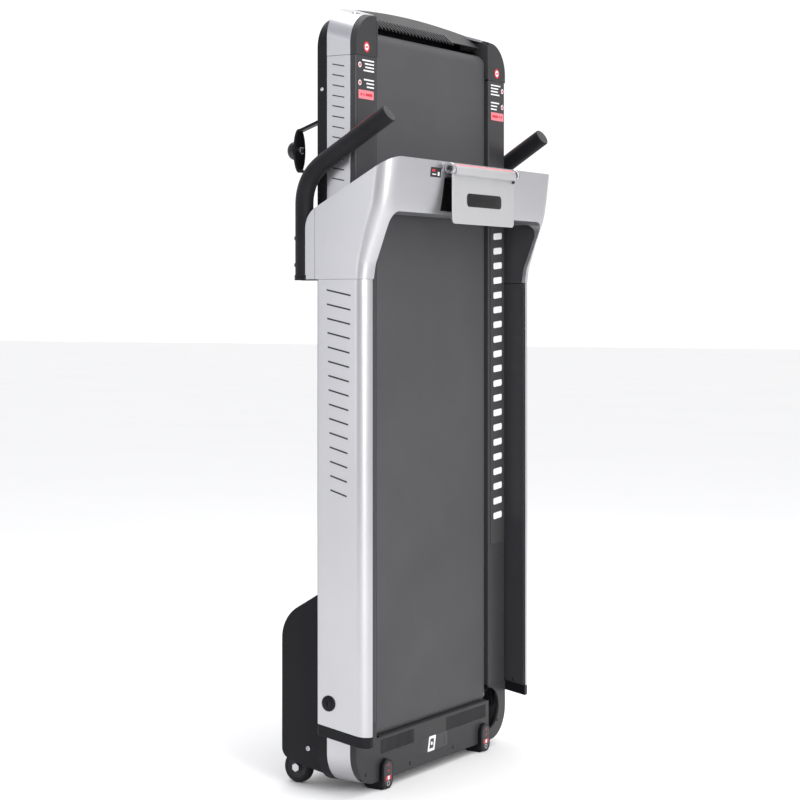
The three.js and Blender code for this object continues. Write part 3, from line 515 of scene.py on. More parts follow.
def numbered(name):
    COUNT[name] = COUNT.get(name, 0) + 1
    return f"{name}_{COUNT[name]:02d}"


def screw(centre, direction, body, radius=0.004, finish="gloss_black", kind="cross"):
    """A pan-head screw with a cross or hexagon recess."""
    r = radius
    head = [(-0.0004, 0), (-0.0004, r), (0.2 * r, r), (0.45 * r, 0.86 * r), (0.62 * r, 0.55 * r),
            (0.66 * r, 0)]
    obj = turned(numbered("screw"), head, direction, centre, finish, body, segments=24)
    if kind == "cross":
        arms = [prism_mesh([rounded([(-a, -b, 0), (a, -b, 0), (a, b, 0), (-a, b, 0)])], "Z", 0.25 * r, r)
                for a, b in ((0.55 * r, 0.11 * r), (0.11 * r, 0.55 * r))]
    else:
        arms = [prism_mesh([disc(0.5 * r, count=6)], "Z", 0.25 * r, r)]
    turn = Vector(direction).to_track_quat("Z", "Y").to_matrix().to_4x4()
    for arm in arms:
        arm.transform(Matrix.Translation(centre) @ turn)
        boolean(obj, arm, "DIFFERENCE")
    return obj


def flat_mark(name, outline, axis, at, outward, finish, body, thick=0.00025, holes=()):
    """A printed or stuck-on mark: a very thin raised shape on a flat face."""
    low, high = sorted((at, at + outward * thick))
    return piece(name, prism_mesh([outline, *holes], axis, low, high), finish, body)


def box_outline(a0, a1, b0, b1, radius=0.0):
    return rounded([(a0, b0, radius), (a1, b0, radius), (a1, b1, radius), (a0, b1, radius)])


# ---- CAD nodes that keep their own mesh: only their finish changes ----
KEPT = {
    "frame_paint": ["front_crossbar", "rear_crossbar", "motor_mount", *both_sides("frame_rail"),
                    *both_sides("upright_tube")],
    "bare_steel": ["drive_roller_shaft", "rear_roller_shaft", "drive_roller", "rear_roller", "motor_rotor",
                   "motor_can", "fold_shaft", *both_sides("roller_bracket")],
    "black_rubber": ["drive_belt"],
    "board": ["running_board"],
    "black_plastic": ["controller_board"],
}
for finish, names in KEPT.items():
    for name in names:
        node = frame["nodes"][name]
        for index in range(len(node.material_slots)):
            node.material_slots[index].material = MATERIALS[finish]

# ---- console arch: one smooth front that runs from upright to upright ----
ARCH_FRONT = [(1.0953, -0.049), (1.126, -0.054), (1.144, -0.0605), (1.185, -0.076), (1.218, -0.089),
              (1.250, -0.0995), (1.300, -0.1075), (1.353, -0.1135)]
ARCH_CORNER = (0.026, 0.040)
ARCH_INNER = -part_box("left_console_shroud")[1].x
ARCH_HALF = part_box("right_console_shroud")[1].x
SLOPE = math.radians(28.5)
BEAM_BOTTOM = 1.237
SEAM_Y = 0.078


def depth(y):
    """A depth measured from the foot rails' face, in the row frame."""
    return FACE_Y + y


def spline(points, count):
    """Catmull-Rom curve through the points, as count + 1 points spread evenly over the spans."""
    result = []
    spans = len(points) - 1
    for k in range(count + 1):
        t = spans * k / count
        i = min(int(t), spans - 1)
        t -= i
        p = [Vector(points[min(max(j, 0), spans)]) for j in (i - 1, i, i + 1, i + 2)]
        result.append(0.5 * (2 * p[1] + t * (p[2] - p[0]) + t * t * (2 * p[0] - 5 * p[1] + 4 * p[2] - p[3])
                             + t ** 3 * (3 * p[1] - p[0] - 3 * p[2] + p[3])))
    return result


def smoothstep(value, low, high):
    t = min(max((value - low) / (high - low), 0), 1)
    return t * t * (3 - 2 * t)


def slope_z(y):
    """Height of the console's sloping top at a depth from the foot rails' face."""
    return 1.350 - (y + 0.113) * math.tan(SLOPE)


def loft_mesh(rings):
    bm = bmesh.new()
    rows = [[bm.verts.new(point) for point in ring] for ring in rings]
    for a, b in zip(rows, rows[1:]):
        for i in range(len(a)):
            j = (i + 1) % len(a)
            bm.faces.new((a[i], a[j], b[j], b[i]))
    bm.faces.new(list(reversed(rows[0])))
    bm.faces.new(rows[-1])
    bmesh.ops.recalc_face_normals(bm, faces=bm.faces)
    mesh = bpy.data.meshes.new("loft")
    bm.to_mesh(mesh)
    bm.free()
    return mesh


def arch_loft():
    rings = []
    back = SHROUD_HIGH.y
    for z, y in spline(ARCH_FRONT, 42):
        r = ARCH_CORNER[0] + (ARCH_CORNER[1] - ARCH_CORNER[0]) * smoothstep(z, 1.095, 1.220)
        ring = []
        for side in (-1, 1):
            for i in range(15):
                t = math.pi / 2 * (i if side < 0 else 14 - i) / 14
                ring.append((side * (ARCH_HALF - r + r * math.cos(t)), depth(y) + r - r * math.sin(t), z))
        rings.append(ring + [(ARCH_HALF, back, z), (-ARCH_HALF, back, z)])
    return loft_mesh(rings)


def make_arch():
    arch = piece("console_arch", arch_loft(), "silver_shell", "arch",
                 ["console_beam", *both_sides("console_shroud")])
    back = depth(0.1025)
    side = rounded([(depth(-0.2), 1.0, 0), (back, 1.0, 0), (back, slope_z(0.1025), 0.050),
                    (depth(-0.2), slope_z(-0.2), 0)])
    boolean(arch, prism_mesh([side], "X", -0.5, 0.5), "INTERSECT")
    opening = rounded([(-ARCH_INNER, 1.0, 0), (ARCH_INNER, 1.0, 0), (ARCH_INNER, BEAM_BOTTOM, 0.026),
                       (-ARCH_INNER, BEAM_BOTTOM, 0.026)])
    boolean(arch, prism_mesh([opening], "Y", -0.4, 0.4), "DIFFERENCE")
    boolean(arch, block_mesh((-ARCH_INNER, depth(-0.009), 1.0), (ARCH_INNER, 0.4, 1.5)), "DIFFERENCE")
    pocket = box_outline(-0.146, 0.146, 1.244, 1.318, 0.006)
    boolean(arch, prism_mesh([pocket], "Y", -0.4, depth(-0.080)), "DIFFERENCE")
    for side_sign in (-1, 1):
        channel = turned_mesh([(-0.3, 0), (-0.3, 0.0199), (0.3, 0.0199), (0.3, 0)], (0, 0, 1),
                              (side_sign * 0.3525, depth(0.115), 1.2), 48)
        boolean(arch, channel, "DIFFERENCE")
        recess = prism_mesh([panel_outline(0.0)], "X", *sorted((side_sign * (ARCH_INNER - 0.01),
                                                               side_sign * (ARCH_INNER + 0.0043))))
        boolean(arch, recess, "DIFFERENCE")
    face = Matrix.Translation((0, depth(-0.061), slope_z(-0.061))) @ Matrix.Rotation(-SLOPE, 4, "X")
    holes = [block_mesh((-0.070, -0.034, -0.0035), (0.040, 0.034, 0.02))]
    holes += [turned_mesh([(-0.006, 0), (-0.006, r), (0.02, r), (0.02, 0)], (0, 0, 1), (x, 0, 0), 40)
              for x, r in ((0.062, 0.0116), (0.102, 0.0116), (0.142, 0.0116), (-0.122, 0.013))]
    for hole in holes:
        hole.transform(face)
        boolean(arch, hole, "DIFFERENCE")
    boolean(arch, block_mesh((-0.5, depth(SEAM_Y), 1.0), (0.5, depth(SEAM_Y) + 0.0007, 1.5)), "DIFFERENCE")
    tidy(arch)
    return bevel(arch, 0.0016, 3, 32)


def panel_outline(inset):
    """Side outline of the dark inner cover inside the arch: follows the arch's front, 8 mm inside it."""
    front = [Vector((depth(y) + 0.0085 + inset, z)) for z, y in spline(ARCH_FRONT, 30) if z < 1.205]
    low = 1.0953 - 0.002
    points = [Vector((depth(-0.045) + inset, low))] + front
    top = BEAM_BOTTOM - 0.0045 - inset
    start = front[-1]
    corner = Vector((start.x - 0.006, top))
    for i in range(1, 9):
        t = i / 8
        end = Vector((corner.x + 0.032, top))
        points.append((1 - t) ** 2 * start + 2 * t * (1 - t) * corner + t * t * end)
    points += [Vector((depth(0.066), top)), Vector((depth(0.066), low))]
    return points


def tidy(obj):
    """Merges points that the cuts left almost together."""
    bm = bmesh.new()
    bm.from_mesh(obj.data)
    bmesh.ops.remove_doubles(bm, verts=bm.verts, dist=0.00004)
    bmesh.ops.dissolve_limit(bm, angle_limit=math.radians(0.4), verts=bm.verts, edges=bm.edges)
    bmesh.ops.recalc_face_normals(bm, faces=bm.faces)
    bm.to_mesh(obj.data)
    bm.free()
    for polygon in obj.data.polygons:
        polygon.use_smooth = True
    obj.data.set_sharp_from_angle(angle=math.radians(32))


make_arch()
for side, sign in (("left", -1), ("right", 1)):
    cover = refine(f"{side}_upright_cover", "rail", 0.0)
    inner, outer = sorted((sign * ARCH_INNER, sign * (ARCH_INNER + 0.0035)))
    boolean(cover, block_mesh((inner - 0.02, -0.4, 1.092), (outer + 0.02, 0.4, 1.6)), "DIFFERENCE")
    prism(f"{side}_inner_panel", panel_outline(0.0004), "X", inner, outer, "rail", "arch", 0.0006)
    bevel(cover, 0.0006, 2)
    for z, y in ((1.205, 0.048), (1.113, 0.030), (0.150, -0.020)):
        screw((sign * ARCH_INNER, depth(y), z), (-sign, 0, 0), "arch", 0.0042)
refine("pocket_liner", "black_plastic", 0.0005)
for side in ("left", "right"):
    refine(f"{side}_upright_shell", "silver_shell", 0.0006)
    refine(f"{side}_upright_end_cap", "black_plastic", 0.0015)


# ---- handlebars ----
def sweep_mesh(path, radii, segments=40, start_angle=0.0, arc=2 * math.pi, thickness=None):
    """A tube along a path. With an arc below a full turn it is a thin curved strip of that thickness."""
    bm = bmesh.new()
    full = thickness is None
    frames = []
    for i, point in enumerate(path):
        tangent = (path[min(i + 1, len(path) - 1)] - path[max(i - 1, 0)]).normalized()
        side = Vector((1, 0, 0))
        side = (side - tangent * side.dot(tangent)).normalized()
        frames.append((point, side, tangent.cross(side)))
    rows = []
    for (point, side, up), radius in zip(frames, radii):
        angles = [start_angle + arc * k / segments for k in range(segments if full else segments + 1)]
        ring = [point + radius * (side * math.cos(t) + up * math.sin(t)) for t in angles]
        if not full:
            ring += [point + (radius - thickness) * (side * math.cos(t) + up * math.sin(t))
                     for t in reversed(angles)]
        rows.append([bm.verts.new(p) for p in ring])
    for a, b in zip(rows, rows[1:]):
        for i in range(len(a)):
            j = (i + 1) % len(a)
            bm.faces.new((a[i], a[j], b[j], b[i]))
    bm.faces.new(rows[0])
    bm.faces.new(rows[-1])
    bmesh.ops.recalc_face_normals(bm, faces=bm.faces)
    mesh = bpy.data.meshes.new("sweep")
    bm.to_mesh(mesh)
    bm.free()
    return mesh


BAR_RADIUS = 0.0195


def bar_path(sign):
    knee = Vector((sign * 0.3525, depth(0.115), 1.313))
    tip = Vector((sign * 0.3435, depth(-0.092), 1.4395))
    up = Vector((0, 0, 1))
    forward = (tip - knee).normalized()
    reach = 0.105 * math.tan(forward.angle(up) / 2)
    start, end = knee - up * reach, knee + forward * reach
    foot = Vector((knee.x, knee.y, 1.097))
    path = [foot.lerp(start, i / 12) for i in range(12)]
    path += [(1 - t) ** 2 * start + 2 * t * (1 - t) * knee + t * t * end for t in (i / 20 for i in range(20))]
    path += [end.lerp(tip, i / 14) for i in range(15)]
    return path


def along(path, distance):
    """The point at a distance back from the end of a path, and the direction there."""
    for a, b in zip(reversed(path[:-1]), reversed(path[1:])):
        length = (b - a).length
        if distance <= length:
            return b.lerp(a, distance / length), (b - a).normalized()
        distance -= length
    return path[0], (path[1] - path[0]).normalized()


def make_bar(side, sign):
    path = bar_path(sign)
    tip, forward = path[-1], (path[-1] - path[-2]).normalized()
    path[-1] = tip - forward * 0.004
    edge = [(0.0030, 1.0), (0.0012, 0.985), (0.0004, 0.95)]
    points = [p for p in path] + [tip - forward * d for d, _ in edge]
    radii = [BAR_RADIUS] * len(path) + [BAR_RADIUS * f for _, f in edge]
    obj = piece(f"{side}_handlebar_foam", sweep_mesh(points, radii), "bar_foam", "arch",
                [f"{side}_handlebar"], 50)
    cap = [(-0.002, 0), (-0.002, 0.0178), (0.0002, 0.0178), (0.0008, 0.0172), (0.0008, 0.0135),
           (0.0002, 0.013), (0.0004, 0.009), (0.0012, 0.0)]
    turned(f"{side}_handlebar_end", cap, forward, tip - forward * 0.0004, "rail", "arch")
    stripe = [along(path, 0.020 + 0.075 * i / 10)[0] for i in range(11)]
    piece(f"{side}_handlebar_stripe",
          sweep_mesh(stripe, [BAR_RADIUS + 0.0004] * 11, 10, math.radians(-118), math.radians(34), 0.0012),
          "red_ink", "arch", (), 50)
    foot = path[0]
    ferrule = [(-0.0035, 0), (-0.0035, 0.0206), (-0.0028, 0.0212), (0.0075, 0.0212), (0.0085, 0.0204),
               (0.0085, 0)]
    turned(f"{side}_handlebar_ferrule", ferrule, (0, 0, 1), foot, "black_plastic", "arch")
    flange = rounded([(foot.x - sign * 0.012, foot.y - 0.032, 0.004),
                      (foot.x + sign * 0.012, foot.y - 0.032, 0.004),
                      (foot.x + sign * 0.012, foot.y, 0), (foot.x - sign * 0.012, foot.y, 0)])
    prism(f"{side}_handlebar_flange", flange, "Z", foot.z - 0.0042, foot.z - 0.0020, "black_plastic",
          "arch", 0.0004)
    for z in (1.126, 1.183):
        screw((foot.x + sign * 0.004, foot.y + BAR_RADIUS * 0.96, z), (sign * 0.2, 1, 0), "arch", 0.0052,
              kind="hex")
    return obj


for side, sign in (("left", -1), ("right", 1)):
    make_bar(side, sign)


# ---- tablet rest ----
def make_tablet_rest():
    low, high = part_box("tablet_tube")
    plate_low, plate_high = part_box("tablet_plate")
    axis_y, axis_z = (low.y + high.y) / 2, (low.z + high.z) / 2
    half = plate_high.x
    radius = 0.010
    tube = [(-half + 0.004, 0), (-half + 0.004, radius - 0.0006), (-half + 0.005, radius),
            (half - 0.005, radius), (half - 0.004, radius - 0.0006), (half - 0.004, 0)]
    turned("tablet_roll", tube, (1, 0, 0), (0, axis_y, axis_z), "silver_metal", "tablet_rest",
           ["tablet_tube"], 56)
    for sign in (-1, 1):
        knob = [(0.0, 0), (0.0, 0.0112), (0.0008, 0.0120), (0.0088, 0.0120), (0.0098, 0.0113),
                (0.0098, 0.0082), (0.0078, 0.0078), (0.0078, 0)]
        start = (sign * (half + 0.002), axis_y, axis_z)
        turned(numbered("tablet_knob"), knob, (sign, 0, 0), start, "bare_steel", "tablet_rest")
        screw((sign * (half + 0.0098), axis_y, axis_z), (sign, 0, 0), "tablet_rest", 0.0062, kind="hex")
    arc = [(r, math.radians(t)) for r, angles in ((radius - 0.0003, (114, 122, 130, 138)),
                                                  (radius + 0.0004, (138, 130, 122, 114))) for t in angles]
    line = [Vector((axis_y + r * math.cos(t), axis_z + r * math.sin(t))) for r, t in arc]
    prism("tablet_line", line, "X", -half + 0.006, half - 0.012, "pink_ink", "tablet_rest", 0)
    outline = rounded([(-half, plate_low.z, 0.010), (half, plate_low.z, 0.010),
                       (half, plate_high.z - 0.001, 0), (-half, plate_high.z - 0.001, 0)])
    prism("tablet_face", outline, "Y", plate_low.y, plate_high.y, "silver_metal", "tablet_rest", 0.0011,
          replaces=["tablet_plate"])
    lip = rounded([(axis_y - 0.0102, axis_z - 0.0005, 0), (axis_y - 0.0102, axis_z - 0.0125, 0.001),
                   (plate_low.y + 0.001, axis_z - 0.0155, 0.001), (plate_low.y + 0.001, axis_z - 0.004, 0)])
    prism("tablet_lip", lip, "X", -half + 0.004, half - 0.004, "silver_metal", "tablet_rest", 0.0004)
    middle = (plate_low.z + plate_high.z) / 2 - 0.001
    prism("tablet_pad", box_outline(-0.0775, 0.0775, middle - 0.0145, middle + 0.0145, 0.0095), "Y",
          plate_low.y - 0.0009, plate_low.y + 0.0004, "black_rubber", "tablet_rest", 0.0004)
    ribs = [box_outline(-0.066, 0.066, z - 0.0006, z + 0.0006, 0.0005)
            for z in (middle - 0.008, middle - 0.004, middle, middle + 0.004, middle + 0.008)]
    for rib in ribs:
        prism(numbered("tablet_pad_rib"), rib, "Y", plate_low.y - 0.0014, plate_low.y - 0.0006,
              "black_rubber", "tablet_rest", 0.0002)
    stop = [(0, 0), (0, 0.0042), (0.0035, 0.0042), (0.0045, 0.0032), (0.0045, 0)]
    turned("tablet_stop", stop, (0, -1, 0), (half - 0.006, plate_low.y + 0.0005, axis_z - 0.016),
           "gloss_black", "tablet_rest")


make_tablet_rest()


# ---- deck front: rails, pads and printed marks ----
def dash_outline(x, z, sign):
    """A rounded, slightly skewed dash, 40 mm wide."""
    skew = 0.0016 * sign
    return rounded([(x - 0.020, z - 0.0075 - skew, 0.004), (x + 0.020, z - 0.0075 + skew, 0.004),
                    (x + 0.020, z + 0.0075 + skew, 0.004), (x - 0.020, z + 0.0075 - skew, 0.004)])


def make_rail_marks(side, sign):
    def spread(x0, x1):
        return sorted((sign * x0, sign * x1))

    pad = spread(0.256, 0.322)
    prism(f"{side}_tread_pad", box_outline(*pad, 0.478, 1.30, 0.004), "Y", FACE_Y - 0.0012, FACE_Y + 0.0002,
          "tread_pad", "deck", 0.0004)
    for i in range(22):
        z = 0.545 + 0.0347 * i
        flat_mark(numbered(f"{side}_dash"), dash_outline(sign * 0.2885, z, sign), "Y", FACE_Y - 0.0011, -1,
                  "white_ink", "deck", 0.0005)
    x = sign * 0.287
    flat_mark(f"{side}_emblem_ring", disc(0.0115, (x, 1.589)), "Y", FACE_Y, -1, "red_ink", "deck", 0.0003)
    flat_mark(f"{side}_emblem_core", disc(0.0072, (x, 1.589)), "Y", FACE_Y - 0.0003, -1, "white_ink", "deck",
              0.0002)
    flat_mark(f"{side}_emblem_bar", box_outline(x - 0.0045, x + 0.0045, 1.5872, 1.5908, 0.001), "Y",
              FACE_Y - 0.0005, -1, "red_ink", "deck", 0.0002)
    for group, (top, count, gap) in enumerate(((1.560, 4, 0.0072), (1.519, 3, 0.0076))):
        for i in range(count):
            length = (0.046, 0.036, 0.034, 0.041)[i] - 0.006 * group
            z = top - gap * i
            flat_mark(numbered(f"{side}_line"),
                      box_outline(*spread(0.258, 0.258 + length), z - 0.0015, z + 0.0015),
                      "Y", FACE_Y, -1, "white_ink", "deck")
        middle = top - gap * (count - 1) / 2
        flat_mark(numbered(f"{side}_dot"), disc(0.0058, (sign * 0.3135, middle)), "Y", FACE_Y, -1,
                  "white_ink", "deck")
        flat_mark(numbered(f"{side}_dot"), disc(0.0036, (sign * 0.3135, middle)), "Y", FACE_Y - 0.0002, -1,
                  "red_ink", "deck", 0.0002)
    flat_mark(f"{side}_label", box_outline(*spread(0.259, 0.319), 1.4778, 1.4965, 0.0015), "Y", FACE_Y, -1,
              "pink_ink", "deck", 0.0003)
    for x0, x1 in ((0.265, 0.291), (0.296, 0.300), (0.305, 0.311)):
        flat_mark(numbered(f"{side}_label_bar"), box_outline(*spread(x0, x1), 1.4845, 1.4900, 0.001), "Y",
                  FACE_Y - 0.0003, -1, "red_ink", "deck", 0.0002)


for side, sign in (("left", -1), ("right", 1)):
    refine(f"{side}_foot_rail", "rail", 0.0006)
    make_rail_marks(side, sign)
refine("running_belt", "running_belt", 0.0)


# ---- belt seam: a skewed joint line across the belt's back run, and stitched edges ----
def make_belt_details():
    low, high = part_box("running_belt")
    for x in (low.x + 0.004, high.x - 0.004):
        path = [Vector((x, low.y - 0.00005, z)) for z in (low.z + 0.03, high.z - 0.03)]
        piece(numbered("belt_edge_line"), sweep_mesh(path, [0.0004] * 2, 8), "charcoal_plastic", "deck")
    seam = [(low.x + 0.001, 0.62, 0), (high.x - 0.001, 0.74, 0), (high.x - 0.001, 0.7412, 0),
            (low.x + 0.001, 0.6212, 0)]
    flat_mark("belt_joint", rounded(seam), "Y", high.y, 1, "charcoal_plastic", "deck", 0.0003)


make_belt_details()


# ---- rear end cap ----
def make_end_cap():
    """The cap itself, with ribs on the face that leans back above the belt and a lip beside the belt."""
    cap = refine("rear_end_cap", "charcoal_plastic", 0.0)
    tidy(cap)
    bevel(cap, 0.0016, 3)
    foot, crest = Vector((depth(0.008), 1.634)), Vector((depth(0.071), 1.690))
    along_face = (crest - foot).normalized()
    outward = Vector((-along_face.y, along_face.x))
    for i in range(24):
        x = -0.232 + 0.0145 * i
        outline = [foot + along_face * s + outward * h
                   for s, h in ((0.005, -0.001), (0.046, -0.001), (0.040, 0.0016), (0.009, 0.0022))]
        prism(numbered("cap_rib"), outline, "X", x - 0.0016, x + 0.0016, "charcoal_plastic", "deck", 0.0007)
    for sign in (-1, 1):
        edge = sign * RAIL_INNER
        lip = rounded([(depth(-0.0006), 1.5715, 0.0004), (depth(0.012), 1.5715, 0.001),
                       (depth(0.040), 1.655, 0.010),
                       (depth(0.020), 1.664, 0.006), (depth(-0.0006), 1.650, 0.004)])
        prism(numbered("cap_lip"), lip, "X", *sorted((edge - sign * 0.0045, edge + sign * 0.0005)),
              "charcoal_plastic", "deck", 0.0008)


make_end_cap()


# ---- front cover with vents, badge and screws ----
def make_front_cover():
    cover = refine("front_cover", "charcoal_plastic", 0.0)
    vents = ((-0.232, -0.092, 0.107), (0.048, 0.232, 0.107))
    for x0, x1, top in vents:
        boolean(cover, prism_mesh([box_outline(x0, x1, top - 0.030, top, 0.002)], "Y", depth(-0.01),
                                  depth(0.0016)), "DIFFERENCE")
        back = box_outline(x0 + 0.0003, x1 - 0.0003, top - 0.0297, top - 0.0003, 0.0017)
        prism(numbered("vent_back"), back, "Y", depth(0.0013), depth(0.0017), "gloss_black", "deck")
        count = round((x1 - x0) / 0.0046)
        for i in range(count):
            x = x0 + (i + 0.5) * (x1 - x0) / count
            prism(numbered("vent_slat"), box_outline(x - 0.0011, x + 0.0011, top - 0.0298, top - 0.0002), "Y",
                  depth(0.0001), depth(0.0014), "charcoal_plastic", "deck", 0.0003)
    badge = [box_outline(-0.062, 0.056, 0.042, 0.078, 0.003)]
    boolean(cover, prism_mesh(badge, "Y", depth(-0.01), depth(0.0007)), "DIFFERENCE")
    tidy(cover)
    bevel(cover, 0.0008, 2)
    prism("badge_plate", box_outline(-0.0615, 0.0555, 0.0425, 0.0775, 0.003), "Y", depth(0.0001),
          depth(0.0008), "rail", "deck", 0.0003)
    frame_out = rounded([(-0.034, 0.044, 0.002), (-0.004, 0.044, 0.002), (0.003, 0.077, 0.002),
                         (-0.026, 0.077, 0.002)])
    frame_in = rounded([(-0.027, 0.050, 0.001), (-0.009, 0.050, 0.001), (-0.0045, 0.071, 0.001),
                        (-0.021, 0.071, 0.001)])
    flat_mark("badge_frame", frame_out, "Y", depth(0.0001), -1, "white_ink", "deck", 0.0004, [frame_in])
    flat_mark("badge_dot", disc(0.004, (-0.0155, 0.0605)), "Y", depth(0.0001), -1, "white_ink", "deck",
              0.0004)
    prism("badge_slot", box_outline(0.040, 0.0435, 0.046, 0.074, 0.001), "Y", depth(-0.0001), depth(0.0004),
          "gloss_black", "deck", 0.0002)
    for x, z in ((-0.290, 0.044), (-0.108, 0.034), (0.082, 0.034), (0.290, 0.060)):
        screw((x, depth(0), z), (0, -1, 0), "deck", 0.0036)
    lip = rounded([(depth(0.001), 0.1128, 0.0005), (depth(0.001), 0.1166, 0.001),
                   (depth(0.006), 0.1176, 0.002), (depth(0.012), 0.1128, 0.0005)])
    prism("belt_wiper", lip, "X", -0.236, 0.236, "black_rubber", "deck", 0.0003)


make_front_cover()
for side, sign in (("left", -1), ("right", 1)):
    foot_low, foot_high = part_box(f"{side}_front_foot")
    refine(f"{side}_front_foot", "black_plastic", 0.0022, 4)
    middle = (foot_low.x + foot_high.x) / 2
    face = foot_low.y
    plate = rounded([(middle - 0.0165, 0.008, 0.013), (middle + 0.0165, 0.008, 0.013),
                     (middle + 0.0165, 0.060, 0.0155), (middle - 0.0165, 0.060, 0.0155)])
    prism(f"{side}_foot_plate", plate, "Y", face - 0.0014, face + 0.0004, "rail", "deck", 0.0008)
    flat_mark(f"{side}_foot_mark", rounded([(middle - 0.011, 0.019, 0.001), (middle + 0.011, 0.021, 0.001),
                                            (middle + 0.011, 0.030, 0.001), (middle - 0.011, 0.028, 0.001)]),
              "Y", face - 0.0014, -1, "red_ink", "deck", 0.0003)
    flat_mark(f"{side}_foot_mark_core", box_outline(middle - 0.003, middle + 0.004, 0.0205, 0.0285, 0.001),
              "Y", face - 0.0017, -1, "white_ink", "deck", 0.0002)
    for z in (0.039, 0.051):
        flat_mark(numbered(f"{side}_foot_arrow"),
                  rounded([(middle - 0.004, z - 0.002, 0), (middle + 0.004, z, 0),
                                                          (middle + 0.002, z + 0.004, 0)]),
                  "Y", face - 0.0014, -1, "red_ink", "deck", 0.0003)
    ring = disc(0.0055, (middle, 0.0125), 32)
    flat_mark(f"{side}_foot_ring", ring, "Y", face - 0.0014, -1, "silver_metal", "deck", 0.0003,
              [disc(0.0038, (middle, 0.0125), 32)])


# ---- hood, wheels, stands and pivot caps ----
def make_hood():
    hood = refine("motor_hood", "black_plastic", 0.0)
    low, high = HOOD_LOW, HOOD_HIGH
    for row in range(2):
        for i in range(14):
            x = -0.13 + i * 0.020
            z = 0.300 - row * 0.055
            boolean(hood, prism_mesh([box_outline(x - 0.0035, x + 0.0035, z - 0.020, z + 0.020, 0.003)], "Y",
                                     high.y - 0.0025, high.y + 0.01), "DIFFERENCE")
    tidy(hood)
    bevel(hood, 0.0016, 3)
    for x in (-0.27, 0.27):
        screw((x, high.y, 0.105), (0, 1, 0), "deck", 0.0045)
    seam = rounded([(low.y + 0.001, 0.060, 0), (low.y + 0.0022, 0.060, 0), (low.y + 0.0022, 0.405, 0),
                    (low.y + 0.001, 0.405, 0)])
    for sign in (-1, 1):
        at = sign * high.x
        prism(numbered("hood_seam"), seam, "X", *sorted((at - sign * 0.0003, at + sign * 0.0002)),
              "gloss_black", "deck")


make_hood()


def make_wheel(side):
    low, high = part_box(f"{side}_wheel")
    centre = (low + high) / 2
    r = (high.z - low.z) / 2
    half = (high.x - low.x) / 2
    tyre = [(-half + 0.001, 0.023), (-half, 0.0245), (-half, r - 0.005), (-half + 0.0015, r - 0.0022),
            (-half + 0.004, r - 0.0004), (-half + 0.006, r), (-0.003, r), (-0.0025, r - 0.001),
            (-0.0012, r - 0.001), (-0.0008, r)]
    tyre += [(-x, rad) for x, rad in reversed(tyre)] + [tyre[0]]
    turned(f"{side}_wheel_tyre", tyre, (1, 0, 0), centre, "black_rubber", f"{side}_wheel",
           [f"{side}_wheel"], 72)
    hub = [(-half + 0.0015, 0.0064), (-half + 0.0005, 0.008), (-half + 0.0005, 0.0115),
           (-half + 0.003, 0.0125),
           (-half + 0.0035, 0.0195), (-half + 0.0015, 0.0205), (-half + 0.0012, 0.0232)]
    hub += [(-x, rad) for x, rad in reversed(hub)] + [hub[0]]
    turned(f"{side}_wheel_hub", hub, (1, 0, 0), centre, "charcoal_plastic", f"{side}_wheel", (), 56)
    for sgn in (-1, 1):
        for k in range(6):
            t = math.pi * k / 3
            y, z = centre.y + 0.016 * math.cos(t), centre.z + 0.016 * math.sin(t)
            x = centre.x + sgn * (half - 0.0034)
            rib = rounded([(y - 0.0011, z - 0.0011, 0.0006), (y + 0.0011, z - 0.0011, 0.0006),
                           (y + 0.0011, z + 0.0011, 0.0006), (y - 0.0011, z + 0.0011, 0.0006)])
            prism(numbered(f"{side}_wheel_rib"), rib, "X", *sorted((x, x + sgn * 0.0017)), "charcoal_plastic",
                  f"{side}_wheel", 0.0003)
    refine(f"{side}_wheel_bracket", "bare_steel", 0.0006)


def make_stand(side):
    stand = refine(f"{side}_rear_stand", "frame_paint", 0.0)
    bevel(stand, 0.0012, 3)
    foot_low, foot_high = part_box(f"{side}_levelling_foot")
    centre = (foot_low + foot_high) / 2
    low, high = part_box(f"{side}_rear_stand")
    base = high.y
    dome = [(0.0004, 0), (0.0004, 0.0195), (0.0012, 0.0208), (0.0045, 0.0214), (0.0060, 0.0200),
            (0.0095, 0.0202)]
    rise = foot_high.y - base
    dome += [(0.0095 + (rise - 0.0095) * math.sin(t), 0.0202 * math.cos(t))
             for t in (math.pi / 2 * i / 14 for i in range(1, 15))]
    stem = [(foot_low.y - base, 0), (foot_low.y - base, 0.0044), (foot_low.y - base + 0.0008, 0.0050)]
    stem += [p for k in range(4) for p in ((foot_low.y - base + 0.002 + 0.0025 * k, 0.0050),
                                            (foot_low.y - base + 0.0032 + 0.0025 * k, 0.0043))]
    stem += [(0.0004, 0.0046)]
    profile = stem + dome[1:]
    turned(f"{side}_levelling_foot_fine", profile, (0, 1, 0), (centre.x, base, centre.z), "gloss_black",
           f"{side}_levelling_foot", [f"{side}_levelling_foot"], 56)
    nut = turned_mesh([(-0.0105, 0), (-0.0105, 0.0085), (-0.0054, 0.0085), (-0.0054, 0)], (0, 1, 0),
                      (centre.x, base, centre.z), 6)
    obj = piece(f"{side}_lock_nut", nut, "bare_steel", "deck", (), 20)
    hole = turned_mesh([(-0.02, 0), (-0.02, 0.0052), (0.01, 0.0052), (0.01, 0)], (0, 1, 0),
                       (centre.x, base, centre.z), 24)
    boolean(obj, hole, "DIFFERENCE")
    bevel(obj, 0.0005, 2)
    for z in (low.z + 0.0035, high.z - 0.0035):
        weld = [(0, 0), (0, 0.010), (0.0012, 0.0085), (0.0018, 0.005), (0.0018, 0)]
        turned(numbered(f"{side}_stand_weld"), weld, (0, 1, 0), (centre.x, low.y - 0.0001, z),
               "frame_paint", "deck", (), 20)


